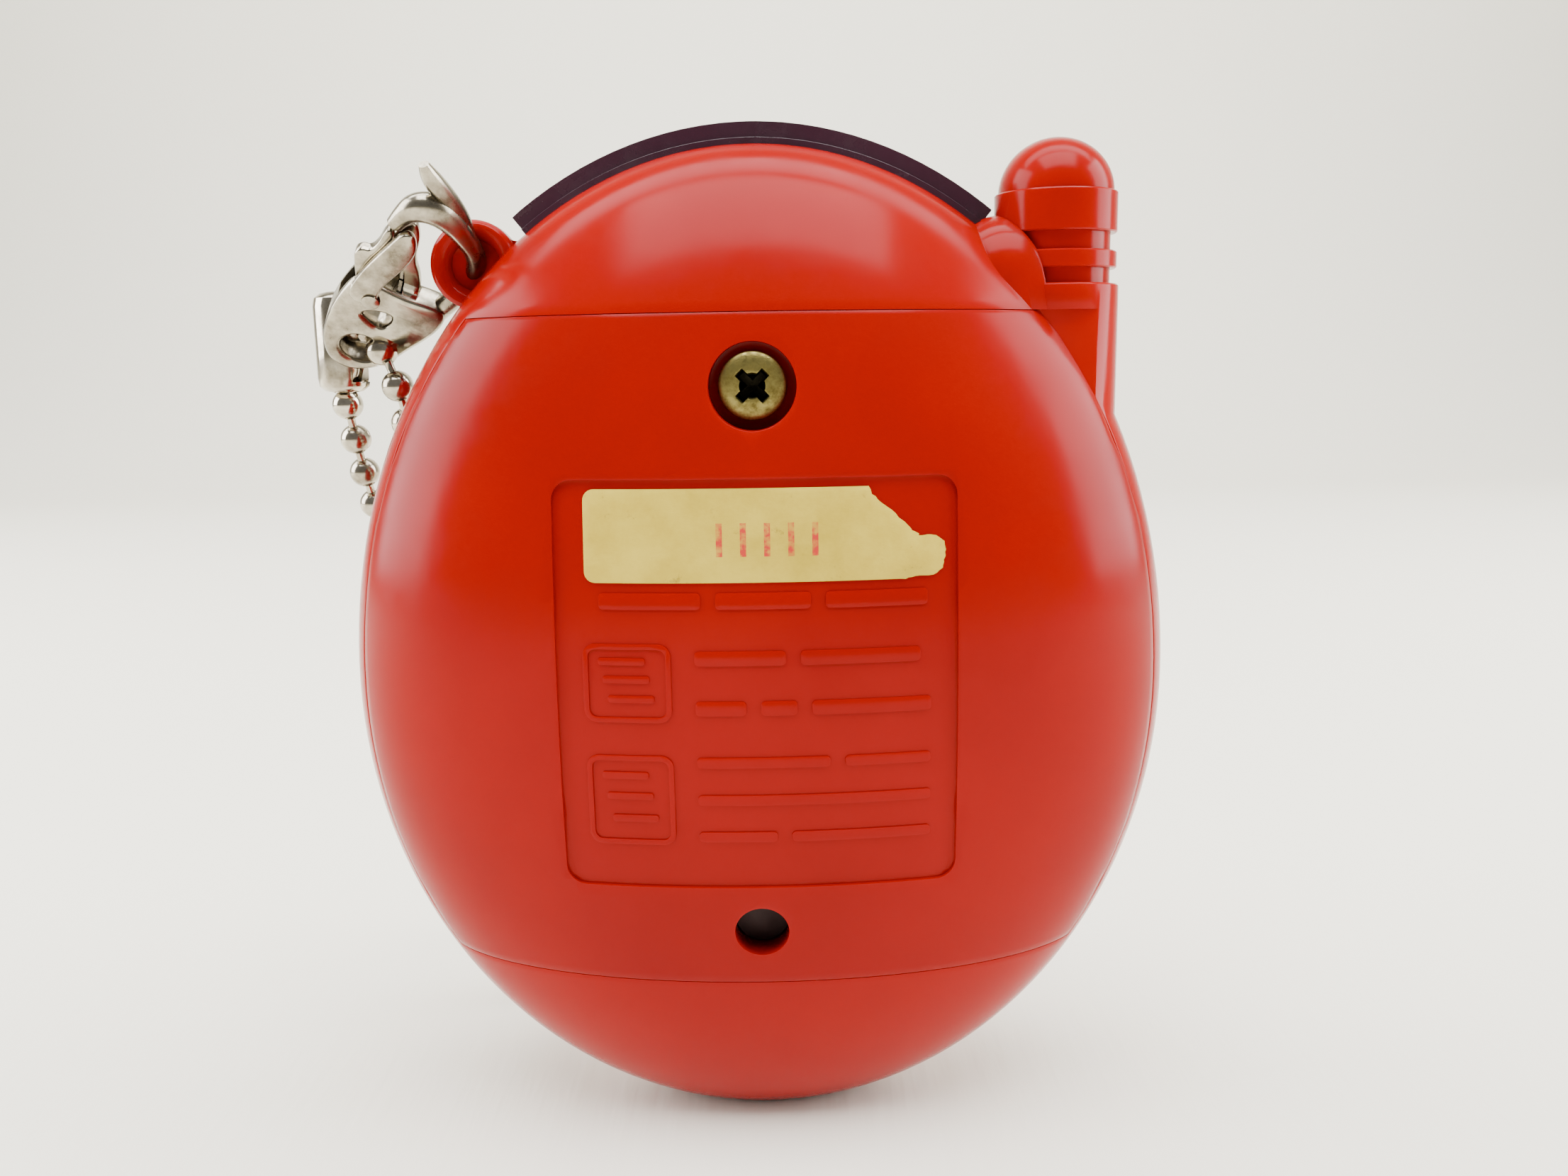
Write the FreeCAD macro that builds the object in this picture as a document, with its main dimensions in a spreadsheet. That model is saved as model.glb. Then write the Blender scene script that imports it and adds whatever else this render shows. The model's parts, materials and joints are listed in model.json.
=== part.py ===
import FreeCAD, Part
import Sketcher
import math
import os
import re

# Egg-shaped virtual pet toy on a ball chain, standing upright.
# Origin at the middle of the small flat under the egg, +Z up.
# The screen faces -Y, the battery door faces +Y.

doc = FreeCAD.newDocument("virtual_pet")
Vector = FreeCAD.Vector
Rotation = FreeCAD.Rotation

# Driving sizes in millimetres.
SIZES = {
    "half_width": 25.0, "half_depth": 11.0,
    "widest": 28.4, "top_rise": 31.7, "bottom_drop": 28.9,
    "wall": 1.6, "tray_wall": 1.3, "seam_gap": 0.12,
    "door_low": 11.8, "door_high": 50.2, "door_edge": 2.4,
    "screw_height": 46.2, "screw_seat": 7.3, "screw_head": 1.87, "screw_thread": 1.0,
    "counterbore": 2.4, "door_boss": 3.3,
    "reset_height": 15.3, "reset_hole": 1.55, "reset_travel": 0.6,
    "panel_low": 18.2, "panel_high": 41.3, "panel_width": 22.2, "panel_corner": 1.1,
    "panel_depth": 0.4,
    "window_rise": 1.25, "window_reach": 13.4, "window_back": 0.9, "window_front": 3.6,
    "antenna_side": 18.0, "antenna_thick": 3.6, "antenna_collar": 52.2, "antenna_root": 2.2,
    "lug_side": 16.5, "lug_height": 53.4, "lug_thick": 2.6, "lug_half": 0.8, "lug_hole": 1.45,
    "lug_flare": 0.78,
    "lens_height": 34.0, "lens_width": 25.0, "lens_tall": 22.0, "lens_corner": 8.0,
    "bezel_band": 2.6, "bezel_rise": 0.8, "fit_gap": 0.1,
    "button_height": 13.6, "button_drop": 1.5, "button_spread": 8.6, "button_thick": 2.3,
    "button_foot": 3.0, "post": 1.5, "post_bore": 0.7, "post_depth": 2.4,
    "board_back": 1.2, "board_front": 0.2, "board_width": 35.0, "board_low": 8.6,
    "board_high": 50.0, "board_corner": 9.0,
    "glass_width": 23.0, "glass_tall": 19.0, "glass_thick": 1.4, "glass_front": 6.0,
    "cell_thick": 3.2, "cell_size": 10.0, "cell_height": 29.5, "cell_floor": 4.9,
    "bolt_side": 15.0, "bolt_high": 43.6, "bolt_low": 18.5, "bolt_head": 1.5, "bolt_thick": 0.8,
}
CLASP_TOP = Vector(19.16, 0.50, 53.88)      # centre of the claw's bend
CLASP_LONG = Vector(-0.595, 0.581, 0.555)   # from the eye towards the bend
CLASP_ACROSS = Vector(-0.804, -0.430, -0.411)   # from the lever towards the hook
BALL = 2.0

sheet = doc.addObject("Spreadsheet::Sheet", "sizes")
for line, (word, value) in enumerate(SIZES.items(), start=1):
    sheet.set(f"A{line}", word)
    sheet.set(f"B{line}", str(value))
    sheet.setAlias(f"B{line}", word)
doc.recompute()

ALONG_Y = Rotation(Vector(1, 0, 0), -90)    # turns +Z to +Y
parts = []


def formula(words):
    """Point every size named in the words at its cell of the sheet."""
    return re.sub(r"[a-z_]+", lambda found: "sizes." + found.group()
                  if found.group() in SIZES else found.group(), str(words))


def bind(item, **formulas):
    for name, words in formulas.items():
        item.setExpression(name, formula(words))


def place(item, x=0, y=0, z=0):
    for axis, words in (("x", x), ("y", y), ("z", z)):
        item.setExpression(f"Placement.Base.{axis}", formula(words))


def box(name, x, y, z):
    """A box from three (low, high) pairs of formulas."""
    made = doc.addObject("Part::Box", name)
    bind(made, Length=f"({x[1]}) - ({x[0]})", Width=f"({y[1]}) - ({y[0]})",
         Height=f"({z[1]}) - ({z[0]})")
    place(made, x[0], y[0], z[0])
    return made


def cylinder(name, radius, low, high, x=0, z=0, y=0, upright=False):
    """A cylinder along Y from low to high, or along Z when upright."""
    made = doc.addObject("Part::Cylinder", name)
    bind(made, Radius=radius, Height=f"({high}) - ({low})")
    if upright:
        place(made, x, y, low)
    else:
        made.Placement.Rotation = ALONG_Y
        place(made, x, low, z)
    return made


def cone(name, first, last, low, high, x=0, z=0):
    made = doc.addObject("Part::Cone", name)
    bind(made, Radius1=first, Radius2=last, Height=f"({high}) - ({low})")
    made.Placement.Rotation = ALONG_Y
    place(made, x, low, z)
    return made


def fuse(name, *items):
    made = doc.addObject("Part::MultiFuse", name)
    made.Shapes = list(items)
    return made


def cut(name, base, *tools):
    made = doc.addObject("Part::Cut", name)
    made.Base = base
    made.Tool = tools[0] if len(tools) == 1 else fuse(name + "_tools", *tools)
    return made


def common(name, *items):
    made = doc.addObject("Part::MultiCommon", name)
    made.Shapes = list(items)
    return made


def egg(name, inset):
    """The whole egg, its wall moved inwards: two half ellipsoids on one widest section."""
    halves = []
    for half, height, low, high in (("top", "top_rise", 0, 90), ("bottom", "bottom_drop", -90, 0)):
        made = doc.addObject("Part::Ellipsoid", f"{name}_{half}")
        bind(made, Radius1=f"{height} - ({inset})", Radius2=f"half_width - ({inset})",
             Radius3=f"half_depth - ({inset})")
        made.Angle1 = low
        made.Angle2 = high
        place(made, z="widest")
        halves.append(made)
    return fuse(name, *halves)


def skin(name, outer, inner):
    return cut(name, egg(name + "_outer", outer), egg(name + "_inner", inner))


def rounded_column(name, width, height, corner, low, high, x="0", z="0"):
    """A rounded rectangle seen along Y, padded from low to high, as a sketched body."""
    body = doc.addObject("PartDesign::Body", name)
    sketch = body.newObject("Sketcher::SketchObject", name + "_outline")
    plane = [item for item in body.Origin.OriginFeatures if item.Role == "XZ_Plane"][0]
    sketch.AttachmentSupport = [(plane, "")]
    sketch.MapMode = "FlatFace"
    half_x, half_z, turn = 10.0, 8.0, 2.0
    corners = [(half_x, half_z), (-half_x, half_z), (-half_x, -half_z), (half_x, -half_z)]
    for index, (cx, cz) in enumerate(corners):
        middle = Vector(math.copysign(half_x - turn, cx), math.copysign(half_z - turn, cz), 0)
        circle = Part.Circle(middle, Vector(0, 0, 1), turn)
        start = index * math.pi / 2
        sketch.addGeometry(Part.ArcOfCircle(circle, start, start + math.pi / 2), False)
    sides = [((-8, 8), (8, 8)), ((-10, -6), (-10, 6)), ((8, -8), (-8, -8)), ((10, 6), (10, -6))]
    for first, last in sides:
        sketch.addGeometry(Part.LineSegment(Vector(*first, 0), Vector(*last, 0)), False)
    add = sketch.addConstraint
    constraint = Sketcher.Constraint
    for arc, (before, at_before, after, at_after) in enumerate(
            ((7, 1, 4, 2), (4, 1, 5, 2), (5, 1, 6, 2), (6, 1, 7, 2))):
        add(constraint("Tangent", arc, 1, before, at_before))
        add(constraint("Tangent", arc, 2, after, at_after))
    for side in (4, 6):
        add(constraint("Horizontal", side))
    for side in (5, 7):
        add(constraint("Vertical", side))
    for arc in (1, 2, 3):
        add(constraint("Equal", 0, arc))
    add(constraint("Symmetric", 0, 3, 2, 3, -1, 1))
    for kind, numbers, words in (
            ("Radius", (0,), corner),
            ("DistanceX", (2, 3, 0, 3), f"({width}) - 2 * ({corner})"),
            ("DistanceY", (2, 3, 0, 3), f"({height}) - 2 * ({corner})")):
        which = add(constraint(kind, *numbers, 5.0 if kind != "Radius" else turn))
        sketch.setExpression(f"Constraints[{which}]", formula(words))
    pad = body.newObject("PartDesign::Pad", name + "_pad")
    pad.Profile = sketch
    pad.Reversed = True
    bind(pad, Length=f"({high}) - ({low})")
    place(body, x, low, z)
    return body


def turned(name, steps):
    """A body turned about Z from (radius, height) formulas, starting and ending on the axis."""
    body = doc.addObject("PartDesign::Body", name)
    sketch = body.newObject("Sketcher::SketchObject", name + "_profile")
    plane = [item for item in body.Origin.OriginFeatures if item.Role == "XZ_Plane"][0]
    sketch.AttachmentSupport = [(plane, "")]
    sketch.MapMode = "FlatFace"
    constraint = Sketcher.Constraint
    count = len(steps)
    corners = [Vector(1 + index, index * index, 0) for index in range(count)]
    for index in range(count):
        sketch.addGeometry(Part.LineSegment(corners[index], corners[(index + 1) % count]), False)
    for index, (radius, height) in enumerate(steps):
        sketch.addConstraint(constraint("Coincident", index - 1 if index else count - 1, 2, index, 1))
        if radius == 0:
            sketch.addConstraint(constraint("PointOnObject", index, 1, -2))
        else:
            which = sketch.addConstraint(constraint("DistanceX", -1, 1, index, 1, 1.0 + index))
            sketch.setExpression(f"Constraints[{which}]", formula(radius))
        which = sketch.addConstraint(constraint("DistanceY", -1, 1, index, 1, 1.0))
        sketch.setExpression(f"Constraints[{which}]", formula(height))
    spin = body.newObject("PartDesign::Revolution", name + "_spin")
    spin.Profile = sketch
    spin.ReferenceAxis = (sketch, ["V_Axis"])
    spin.Angle = 360
    return body


def keep(item, label):
    """Mark an object as a finished sub-part; its label names its file."""
    item.Label = label
    parts.append(item)
    return item


def back_surface(x, z, inset=0.0):
    """How far the egg's skin stands from the middle plane at x, z."""
    rise = SIZES["top_rise"] if z > SIZES["widest"] else SIZES["bottom_drop"]
    across = x / (SIZES["half_width"] - inset)
    along = (z - SIZES["widest"]) / (rise - inset)
    return (SIZES["half_depth"] - inset) * math.sqrt(max(1 - across ** 2 - along ** 2, 0))


FAR = 40
LOW = -1
HIGH = 62
everything = (-FAR, FAR)
bolt_places = [(side, height) for side in (-1, 1) for height in ("bolt_high", "bolt_low")]
board_bolts = [(-15.2, 34), (15.2, 34), (-10.5, 20.5), (10.5, 20.5)]


def bolt_x(side):
    return f"{side} * bolt_side"


# Openings that both shells share: the window's slot, the antenna's seat, the key hole.
def window_block(name, grow):
    return box(name, (f"-window_reach - {grow}", f"window_reach + {grow}"),
               (f"-window_front - {grow}", f"window_back + {grow}"), ("50", "70"))


def shared_cuts(name):
    slot = common(name + "_slot", window_block(name + "_slot_box", "0.05"),
                  skin(name + "_slot_skin", "-3", "3.2"))
    seat = cylinder(name + "_seat", "antenna_thick + 0.05", "antenna_collar", "64",
                    x="-antenna_side", upright=True)
    root = cylinder(name + "_root", "antenna_root + 0.05", "45", "64", x="-antenna_side",
                    upright=True)
    hole = cylinder(name + "_key_hole", "lug_hole", "-6", "6", x="lug_side", z="lug_height")
    flare_back = cone(name + "_flare_back", "lug_hole", "lug_hole + lug_flare + 0.5",
                      "lug_half - lug_flare", "lug_half + 0.5", x="lug_side", z="lug_height")
    flare_front = cone(name + "_flare_front", "lug_hole + lug_flare + 0.5", "lug_hole",
                       "-lug_half - 0.5", "-lug_half + lug_flare", x="lug_side", z="lug_height")
    return [slot, seat, root, hole, flare_back, flare_front]


def shoulder(name, low, high):
    """The key lug and the antenna's collar, the part of them between two Y planes."""
    lug = cylinder(name + "_lug", "lug_thick", f"max({low}; -lug_half)", f"min({high}; lug_half)",
                   x="lug_side", z="lug_height")
    collar = cylinder(name + "_collar_whole", "antenna_thick + 0.15", "41", "antenna_collar",
                      x="-antenna_side", upright=True)
    side = box(name + "_collar_side", everything, (low, high), (LOW, HIGH))
    return lug, common(name + "_collar", collar, side)


def make_back_shell():
    half = box("back_half", everything, (0, FAR), (0, HIGH))
    outer = egg("back_outer", 0)
    lug, collar = shoulder("back", 0, FAR)
    cup = cylinder("back_cup", "cell_size + 1.3", "cell_floor - 1", "half_depth", z="cell_height")
    screw_boss = cylinder("back_screw_boss", "2.7", "2.2", "half_depth", z="screw_height")
    reset_guide = cylinder("back_reset_guide", "2.6", "3.2", "half_depth", z="reset_height")
    bosses = [cylinder(f"back_boss_{n}", "bolt_head + 0.9", 0, "half_depth",
                       x=bolt_x(side), z=height)
              for n, (side, height) in enumerate(bolt_places)]
    tray = egg("back_inner", "wall + seam_gap + tray_wall")
    hollow_top = common("back_hollow_top", egg("back_top_inner", "wall"),
                        box("back_top_box", everything, (-1, FAR), ("door_high + wall", HIGH)))
    hollow_low = common("back_hollow_low", egg("back_low_inner", "wall"),
                        box("back_low_box", everything, (-1, FAR), (LOW, "door_low - wall")))
    hollow_rim = common("back_hollow_rim", egg("back_rim_inner", "wall"),
                        box("back_rim_box", everything, (-1, "door_edge - wall"), (LOW, HIGH)))
    hollow = fuse("back_hollow", tray, hollow_top, hollow_low, hollow_rim)
    walls = cut("back_walls", fuse("back_solid", outer, collar, lug), hollow)
    inside = common("back_inside", egg("back_reach", "wall"),
                    fuse("back_furniture", cup, screw_boss, reset_guide, *bosses))
    bay = cylinder("back_bay", "cell_size + 0.3", "cell_floor", "half_depth + 2", z="cell_height")
    door_space = cut("back_door_space",
                     box("back_door_box", everything, ("door_edge", FAR), ("door_low", "door_high")),
                     egg("back_door_floor", "wall + seam_gap"))
    door_boss_hole = cylinder("back_door_boss_hole", "door_boss + 0.15", "screw_seat - 1.35",
                              "half_depth + 2", z="screw_height")
    insert_hole = cylinder("back_insert_hole", "1.8", "2.8", "half_depth", z="screw_height")
    reset_hole = cylinder("back_reset_bore", "1.75", "2.0", "half_depth + 2", z="reset_height")
    bolt_heads = [cylinder(f"back_head_{n}", "bolt_head + 0.15", "3.2", "half_depth",
                           x=bolt_x(side), z=height)
                  for n, (side, height) in enumerate(bolt_places)]
    bolt_holes = [cylinder(f"back_bolt_{n}", "0.9", "-1", "4", x=bolt_x(side), z=height)
                  for n, (side, height) in enumerate(bolt_places)]
    contact_way = box("back_contact_way", ("-1.7", "1.7"), ("3", "half_depth"),
                      ("cell_height + cell_size - 0.1", "cell_height + cell_size + 0.5"))
    wire_way = box("back_wire_way", ("-1.5", "1.5"), ("3.2", "cell_floor + 1"),
                   ("cell_height - cell_size - 3", "cell_height - cell_size"))
    solid = fuse("back_whole", walls, inside)
    shaped = cut("back_cut", solid, bay, door_space, door_boss_hole, insert_hole, reset_hole,
                 contact_way, wire_way, *bolt_heads, *bolt_holes, *shared_cuts("back"))
    keep(common("back_shell_shape", shaped, half), "back_shell")


def make_front_shell():
    half = box("front_half", everything, (-FAR, "-0.02"), (0, HIGH))
    lug, collar = shoulder("front", -FAR, 0)
    walls = cut("front_walls", fuse("front_solid", egg("front_outer", 0), collar, lug),
                egg("front_inner", "wall"))
    bosses = [cylinder(f"front_boss_{n}", "bolt_head + 0.7", "-half_depth", "-0.02",
                       x=bolt_x(side), z=height)
              for n, (side, height) in enumerate(bolt_places)]
    bezel_seat = rounded_column("front_bezel_seat", "lens_width + 2 * bezel_band",
                                "lens_tall + 2 * bezel_band", "lens_corner + bezel_band",
                                "-half_depth - 3", "-3", z="lens_height")
    opening = rounded_column("front_opening", "lens_width - 2", "lens_tall - 2",
                             "lens_corner - 1", "-half_depth - 3", "-3", z="lens_height")
    step = cut("front_step", bezel_seat, egg("front_step_floor", "0.9"))
    holes = [cylinder(f"front_button_hole_{n}", "button_thick + fit_gap", "-half_depth - 2", "-3",
                      x=f"{side} * button_spread", z=button_level(side))
             for n, side in enumerate((-1, 0, 1))]
    pilots = [cylinder(f"front_pilot_{n}", "0.75", "-6", "1", x=bolt_x(side), z=height)
              for n, (side, height) in enumerate(bolt_places)]
    posts = [cylinder(f"board_post_{n}", "post", "-half_depth", "-board_front", x=x, z=z)
             for n, (x, z) in enumerate(board_bolts)]
    bores = [cylinder(f"board_post_bore_{n}", "post_bore", "-board_front - post_depth", "0", x=x, z=z)
             for n, (x, z) in enumerate(board_bolts)]
    inside = common("front_inside", egg("front_reach", "wall"),
                    fuse("front_furniture", *bosses, *posts))
    shaped = cut("front_cut", fuse("front_whole", walls, inside), step, opening, *holes, *pilots,
                 *bores, *shared_cuts("front"))
    keep(common("front_shell_shape", shaped, half), "front_shell")


def button_level(side):
    return f"button_height - {1 - abs(side)} * button_drop"


def make_window():
    block = window_block("window_box", "0")
    keep(common("window_shape", block, skin("window_skin", "-window_rise", "1.5")), "ir_window")


def make_antenna():
    top = "antenna_collar"
    thick = "antenna_thick"
    steps = [(0, f"{top} - 6"), ("antenna_root", f"{top} - 6"), ("antenna_root", top),
             (f"{thick} - 0.35", top), (f"{thick} - 0.35", f"{top} + 0.9"),
             (thick, f"{top} + 0.9"), (thick, f"{top} + 1.8"), (f"{thick} - 0.35", f"{top} + 1.8"),
             (f"{thick} - 0.35", f"{top} + 2.8"), (thick, f"{top} + 2.8"), (thick, f"{top} + 5.1"),
             (f"{thick} - 0.25", f"{top} + 5.1"), (0, f"{top} + 5.1")]
    stem = turned("antenna_stem", steps)
    place(stem, "-antenna_side")
    dome = doc.addObject("Part::Ellipsoid", "antenna_dome")
    bind(dome, Radius1="2.9", Radius2=f"{thick} - 0.25", Radius3=f"{thick} - 0.25")
    dome.Angle1 = 0
    dome.Angle2 = 90
    place(dome, "-antenna_side", 0, f"{top} + 5.1")
    keep(fuse("antenna_shape", stem, dome), "antenna_stub")


def make_door():
    region = box("door_region", everything, ("door_edge + seam_gap", FAR),
                 ("door_low + seam_gap", "door_high - seam_gap"))
    plate = common("door_plate", skin("door_skin", 0, "wall"), region)
    boss = common("door_boss_shape", egg("door_boss_reach", "0.3"),
                  cylinder("door_boss_rod", "door_boss", "screw_seat - 1.2", "half_depth + 1",
                           z="screw_height"))
    sink = cylinder("door_sink", "counterbore", "screw_seat", "half_depth + 3", z="screw_height")
    shank = cylinder("door_shank_hole", "screw_thread + 0.15", "0", "half_depth", z="screw_height")
    reset = cylinder("door_reset_hole", "reset_hole", "0", "half_depth + 3", z="reset_height")
    column = rounded_column("door_panel_column", "panel_width", "panel_high - panel_low",
                            "panel_corner", "2", "half_depth + 3",
                            z="(panel_low + panel_high) / 2")
    panel = cut("door_panel", column, egg("door_panel_floor", "panel_depth"))
    plain = cut("door_plain", fuse("door_solid", plate, boss), sink, shank, reset, panel)
    keep(fuse("door_shape", plain, make_relief()), "battery_door")


def make_relief():
    """Raised frames and plain bars that stand where such a door carries its markings."""
    marks = []
    for n, (low, high) in enumerate((("panel_low + 2.6", "panel_low + 7.9"),
                                     ("panel_low + 9.8", "panel_low + 14.2"))):
        frame = box(f"relief_frame_{n}", ("4.7", "9.6"), (2, 14), (low, high))
        inner = box(f"relief_frame_in_{n}", ("5.0", "9.3"), (1, 15),
                    (f"{low} + 0.3", f"{high} - 0.3"))
        marks.append(cut(f"relief_ring_{n}", frame, inner))
    rows = ((16.1, ((8.6, 3.0), (2.2, -3.0), (-3.8, -9.4))),
            (13.0, ((3.4, -1.6), (-2.4, -9.0))),
            (10.2, ((3.4, 0.6), (-0.2, -2.2), (-3.0, -9.6))),
            (7.2, ((3.4, -4.0), (-4.8, -9.6))),
            (5.0, ((3.4, -9.6),)),
            (2.8, ((3.4, -1.0), (-1.8, -9.6))))
    for row, (height, bars) in enumerate(rows):
        for n, (left, right) in enumerate(bars):
            marks.append(box(f"relief_bar_{row}_{n}", (right, left), (2, 14),
                             (f"panel_low + {height}", f"panel_low + {height} + 0.5")))
    return common("relief", fuse("relief_marks", *marks), skin("relief_skin", "0.2", "0.6"))


def make_door_screw():
    seat = "screw_seat + 0.03"
    head = cylinder("screw_head_disc", "screw_head", seat, f"{seat} + 1.0", z="screw_height")
    dome = doc.addObject("Part::Ellipsoid", "screw_head_dome")
    bind(dome, Radius1="0.35", Radius2="screw_head", Radius3="screw_head")
    dome.Angle1 = 0
    dome.Angle2 = 90
    dome.Placement.Rotation = ALONG_Y
    place(dome, 0, f"{seat} + 1.0", "screw_height")
    shank = cylinder("screw_shank", "screw_thread", "3.0", seat, z="screw_height")
    slots = []
    for n, turn in enumerate((45, -45)):
        blade = doc.addObject("Part::Box", f"screw_slot_{n}")
        bind(blade, Length="2.3", Width="2", Height="0.55")
        middle = Rotation(Vector(0, 1, 0), turn)
        blade.Placement.Rotation = middle
        corner = middle.multVec(Vector(-1.15, 0, -0.275))
        place(blade, corner.x, f"{seat} + 0.5", f"screw_height + ({corner.z})")
        slots.append(blade)
    keep(cut("door_screw_shape", fuse("screw_solid", head, dome, shank), *slots), "door_screw")
    ring = cut("screw_ring_shape",
               cylinder("screw_ring_outer", "1.65", "screw_seat - 1.75", "screw_seat - 1.25",
                        z="screw_height"),
               cylinder("screw_ring_hole", "screw_thread + 0.05", "0", "9", z="screw_height"))
    keep(ring, "screw_retaining_ring")
    insert = cut("insert_shape",
                 cylinder("insert_outer", "1.8", "2.8", "screw_seat - 2.0", z="screw_height"),
                 cylinder("insert_hole", "screw_thread + 0.05", "2.9", "9", z="screw_height"))
    keep(insert, "threaded_insert")


def make_front_face():
    wide = ("lens_width + 2 * bezel_band - 0.2", "lens_tall + 2 * bezel_band - 0.2",
            "lens_corner + bezel_band - 0.1")
    inner = ("lens_width", "lens_tall", "lens_corner")
    outer_column = rounded_column("bezel_outer", *wide, "-half_depth - 3", "-3", z="lens_height")
    inner_column = rounded_column("bezel_inner", *inner, "-half_depth - 4", "-2", z="lens_height")
    band = skin("bezel_skin", "-bezel_rise", "0.85")
    keep(cut("bezel_shape", common("bezel_band_shape", outer_column, band), inner_column),
         "screen_bezel")
    lens_column = rounded_column("lens_column", "lens_width - 0.2", "lens_tall - 0.2",
                                 "lens_corner - 0.1", "-half_depth - 3", "-3", z="lens_height")
    keep(common("lens_shape", lens_column, skin("lens_skin", "-0.35", "0.85")), "screen_lens")


def make_display():
    front = "-glass_front"
    back = "-glass_front + glass_thick"
    keep(rounded_column("glass_plate", "glass_width", "glass_tall", "0.4", front, back,
                        z="lens_height"), "lcd_glass")
    keep(rounded_column("polariser_plate", "glass_width - 3", "glass_tall - 4", "0.3",
                        f"{front} - 0.2", front, z="lens_height"), "lcd_polariser")
    keep(rounded_column("reflector_plate", "glass_width - 1", "glass_tall - 5", "0.3",
                        back, f"{back} + 0.25", z="lens_height"), "lcd_reflector")
    outer = rounded_column("holder_outer", "glass_width + 2.4", "glass_tall + 2.4", "1.2",
                           "-5.9", "-board_front", z="lens_height")
    room = rounded_column("holder_room", "glass_width + 0.2", "glass_tall + 0.2", "0.5",
                          "-7", "-4.4", z="lens_height")
    window = rounded_column("holder_window", "glass_width - 0.6", "glass_tall - 0.6", "0.5",
                            "-7", "1", z="lens_height")
    keep(cut("holder_shape", outer, room, window), "lcd_holder")
    strips = [box(f"strip_{n}", ("-glass_width / 2 + 1", "glass_width / 2 - 1"),
                  (back, "-board_front"), (f"lens_height + ({low})", f"lens_height + ({low}) + 1.4"))
              for n, low in enumerate(("glass_tall / 2 - 1.8", "-glass_tall / 2 + 0.4"))]
    keep(fuse("strips_shape", *strips), "zebra_strips")


def make_board():
    plate = rounded_column("board_plate", "board_width", "board_high - board_low", "board_corner",
                           "-board_front", "board_back", z="(board_high + board_low) / 2")
    notches = [cylinder(f"board_notch_{n}", "bolt_head + 1.1", "-3", "3", x=bolt_x(side), z=height)
               for n, (side, height) in enumerate(bolt_places)]
    screw_clear = cylinder("board_screw_clear", "1.3", "-3", "3", z="screw_height")
    tapped = [cylinder(f"board_hole_{n}", "0.8", "-3", "3", x=x, z=z)
              for n, (x, z) in enumerate(board_bolts)]
    keep(cut("board_shape", plate, screw_clear, *notches, *tapped), "circuit_board")
    heads = []
    for n, (x, z) in enumerate(board_bolts):
        heads.append(cylinder(f"board_bolt_head_{n}", "1.3", "board_back", "board_back + 0.7",
                              x=x, z=z))
        heads.append(cylinder(f"board_bolt_shank_{n}", "post_bore", "-board_front - post_depth",
                              "board_back", x=x, z=z))
    keep(fuse("board_screws_shape", *heads), "board_screws")


def make_components():
    top = "board_back"
    blob = doc.addObject("Part::Ellipsoid", "blob_dome")
    bind(blob, Radius1="1.4", Radius2="4.2", Radius3="4.2")
    blob.Angle1 = 0
    blob.Angle2 = 90
    blob.Placement.Rotation = ALONG_Y
    place(blob, 0, top, "cell_height")
    keep(blob, "processor_blob")
    memory = box("memory_chip_body", (-9.5, -5.5), (top, f"{top} + 1.5"), (34.5, 39.5))
    legs = [box(f"memory_leg_{n}_{m}", (x, x + 1.0), (top, f"{top} + 0.25"),
                (34.9 + 1.27 * n, 35.3 + 1.27 * n))
            for n in range(4) for m, x in enumerate((-10.5, -5.5))]
    keep(fuse("memory_shape", memory, *legs), "memory_chip")
    crystal = doc.addObject("Part::Cylinder", "crystal_can")
    bind(crystal, Radius="1.0", Height="4.6")
    crystal.Placement.Rotation = Rotation(Vector(0, 1, 0), 90)
    place(crystal, 6.0, f"{top} + 1.0", 37)
    keep(crystal, "clock_crystal")
    capacitors = [box(f"capacitor_{n}", (x, x + 1.6), (top, f"{top} + 0.8"), (z, z + 0.8))
                  for n, (x, z) in enumerate(((6, 39.5), (9, 39.5), (-4, 39), (2, 39.5)))]
    keep(fuse("capacitors_shape", *capacitors), "chip_capacitors")
    resistors = [box(f"resistor_{n}", (x, x + 1.6), (top, f"{top} + 0.45"), (z, z + 0.8))
                 for n, (x, z) in enumerate(((-13, 24), (-13, 26), (-13, 28), (11.5, 24),
                                            (11.5, 26), (11.5, 28)))]
    keep(fuse("resistors_shape", *resistors), "chip_resistors")
    for name, x in (("ir_emitter", -3.2), ("ir_receiver", 3.2)):
        block = box(name + "_case", (x - 1.6, x + 1.6), ("-1.9", "0.3"), (52.2, 54.6))
        eye = doc.addObject("Part::Sphere", name + "_eye")
        bind(eye, Radius="1.0")
        place(eye, x, "-0.8", 54.6)
        leads = [cylinder(f"{name}_lead_{n}", "0.22", 49.2, 52.2, x=lead, y="-0.6", upright=True)
                 for n, lead in enumerate((x - 0.8, x + 0.8))]
        keep(fuse(name + "_shape", block, eye, *leads), name)
    disc = cylinder("buzzer_disc_plate", "6.5", "cell_floor - 1.3", "cell_floor - 1.02",
                    z="cell_height")
    ceramic = cylinder("buzzer_crystal", "4.4", "cell_floor - 1.5", "cell_floor - 1.3",
                       z="cell_height")
    keep(fuse("buzzer_shape", disc, ceramic), "buzzer_disc")
    springs = [cut(f"buzzer_spring_{n}",
                   cylinder(f"buzzer_spring_out_{n}", "0.7", top, "cell_floor - 1.3", x=x,
                            z="cell_height"),
                   cylinder(f"buzzer_spring_in_{n}", "0.45", "0", "5", x=x, z="cell_height"))
               for n, x in enumerate(("-5.5", "5.5"))]
    keep(fuse("buzzer_springs_shape", *springs), "buzzer_springs")


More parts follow.
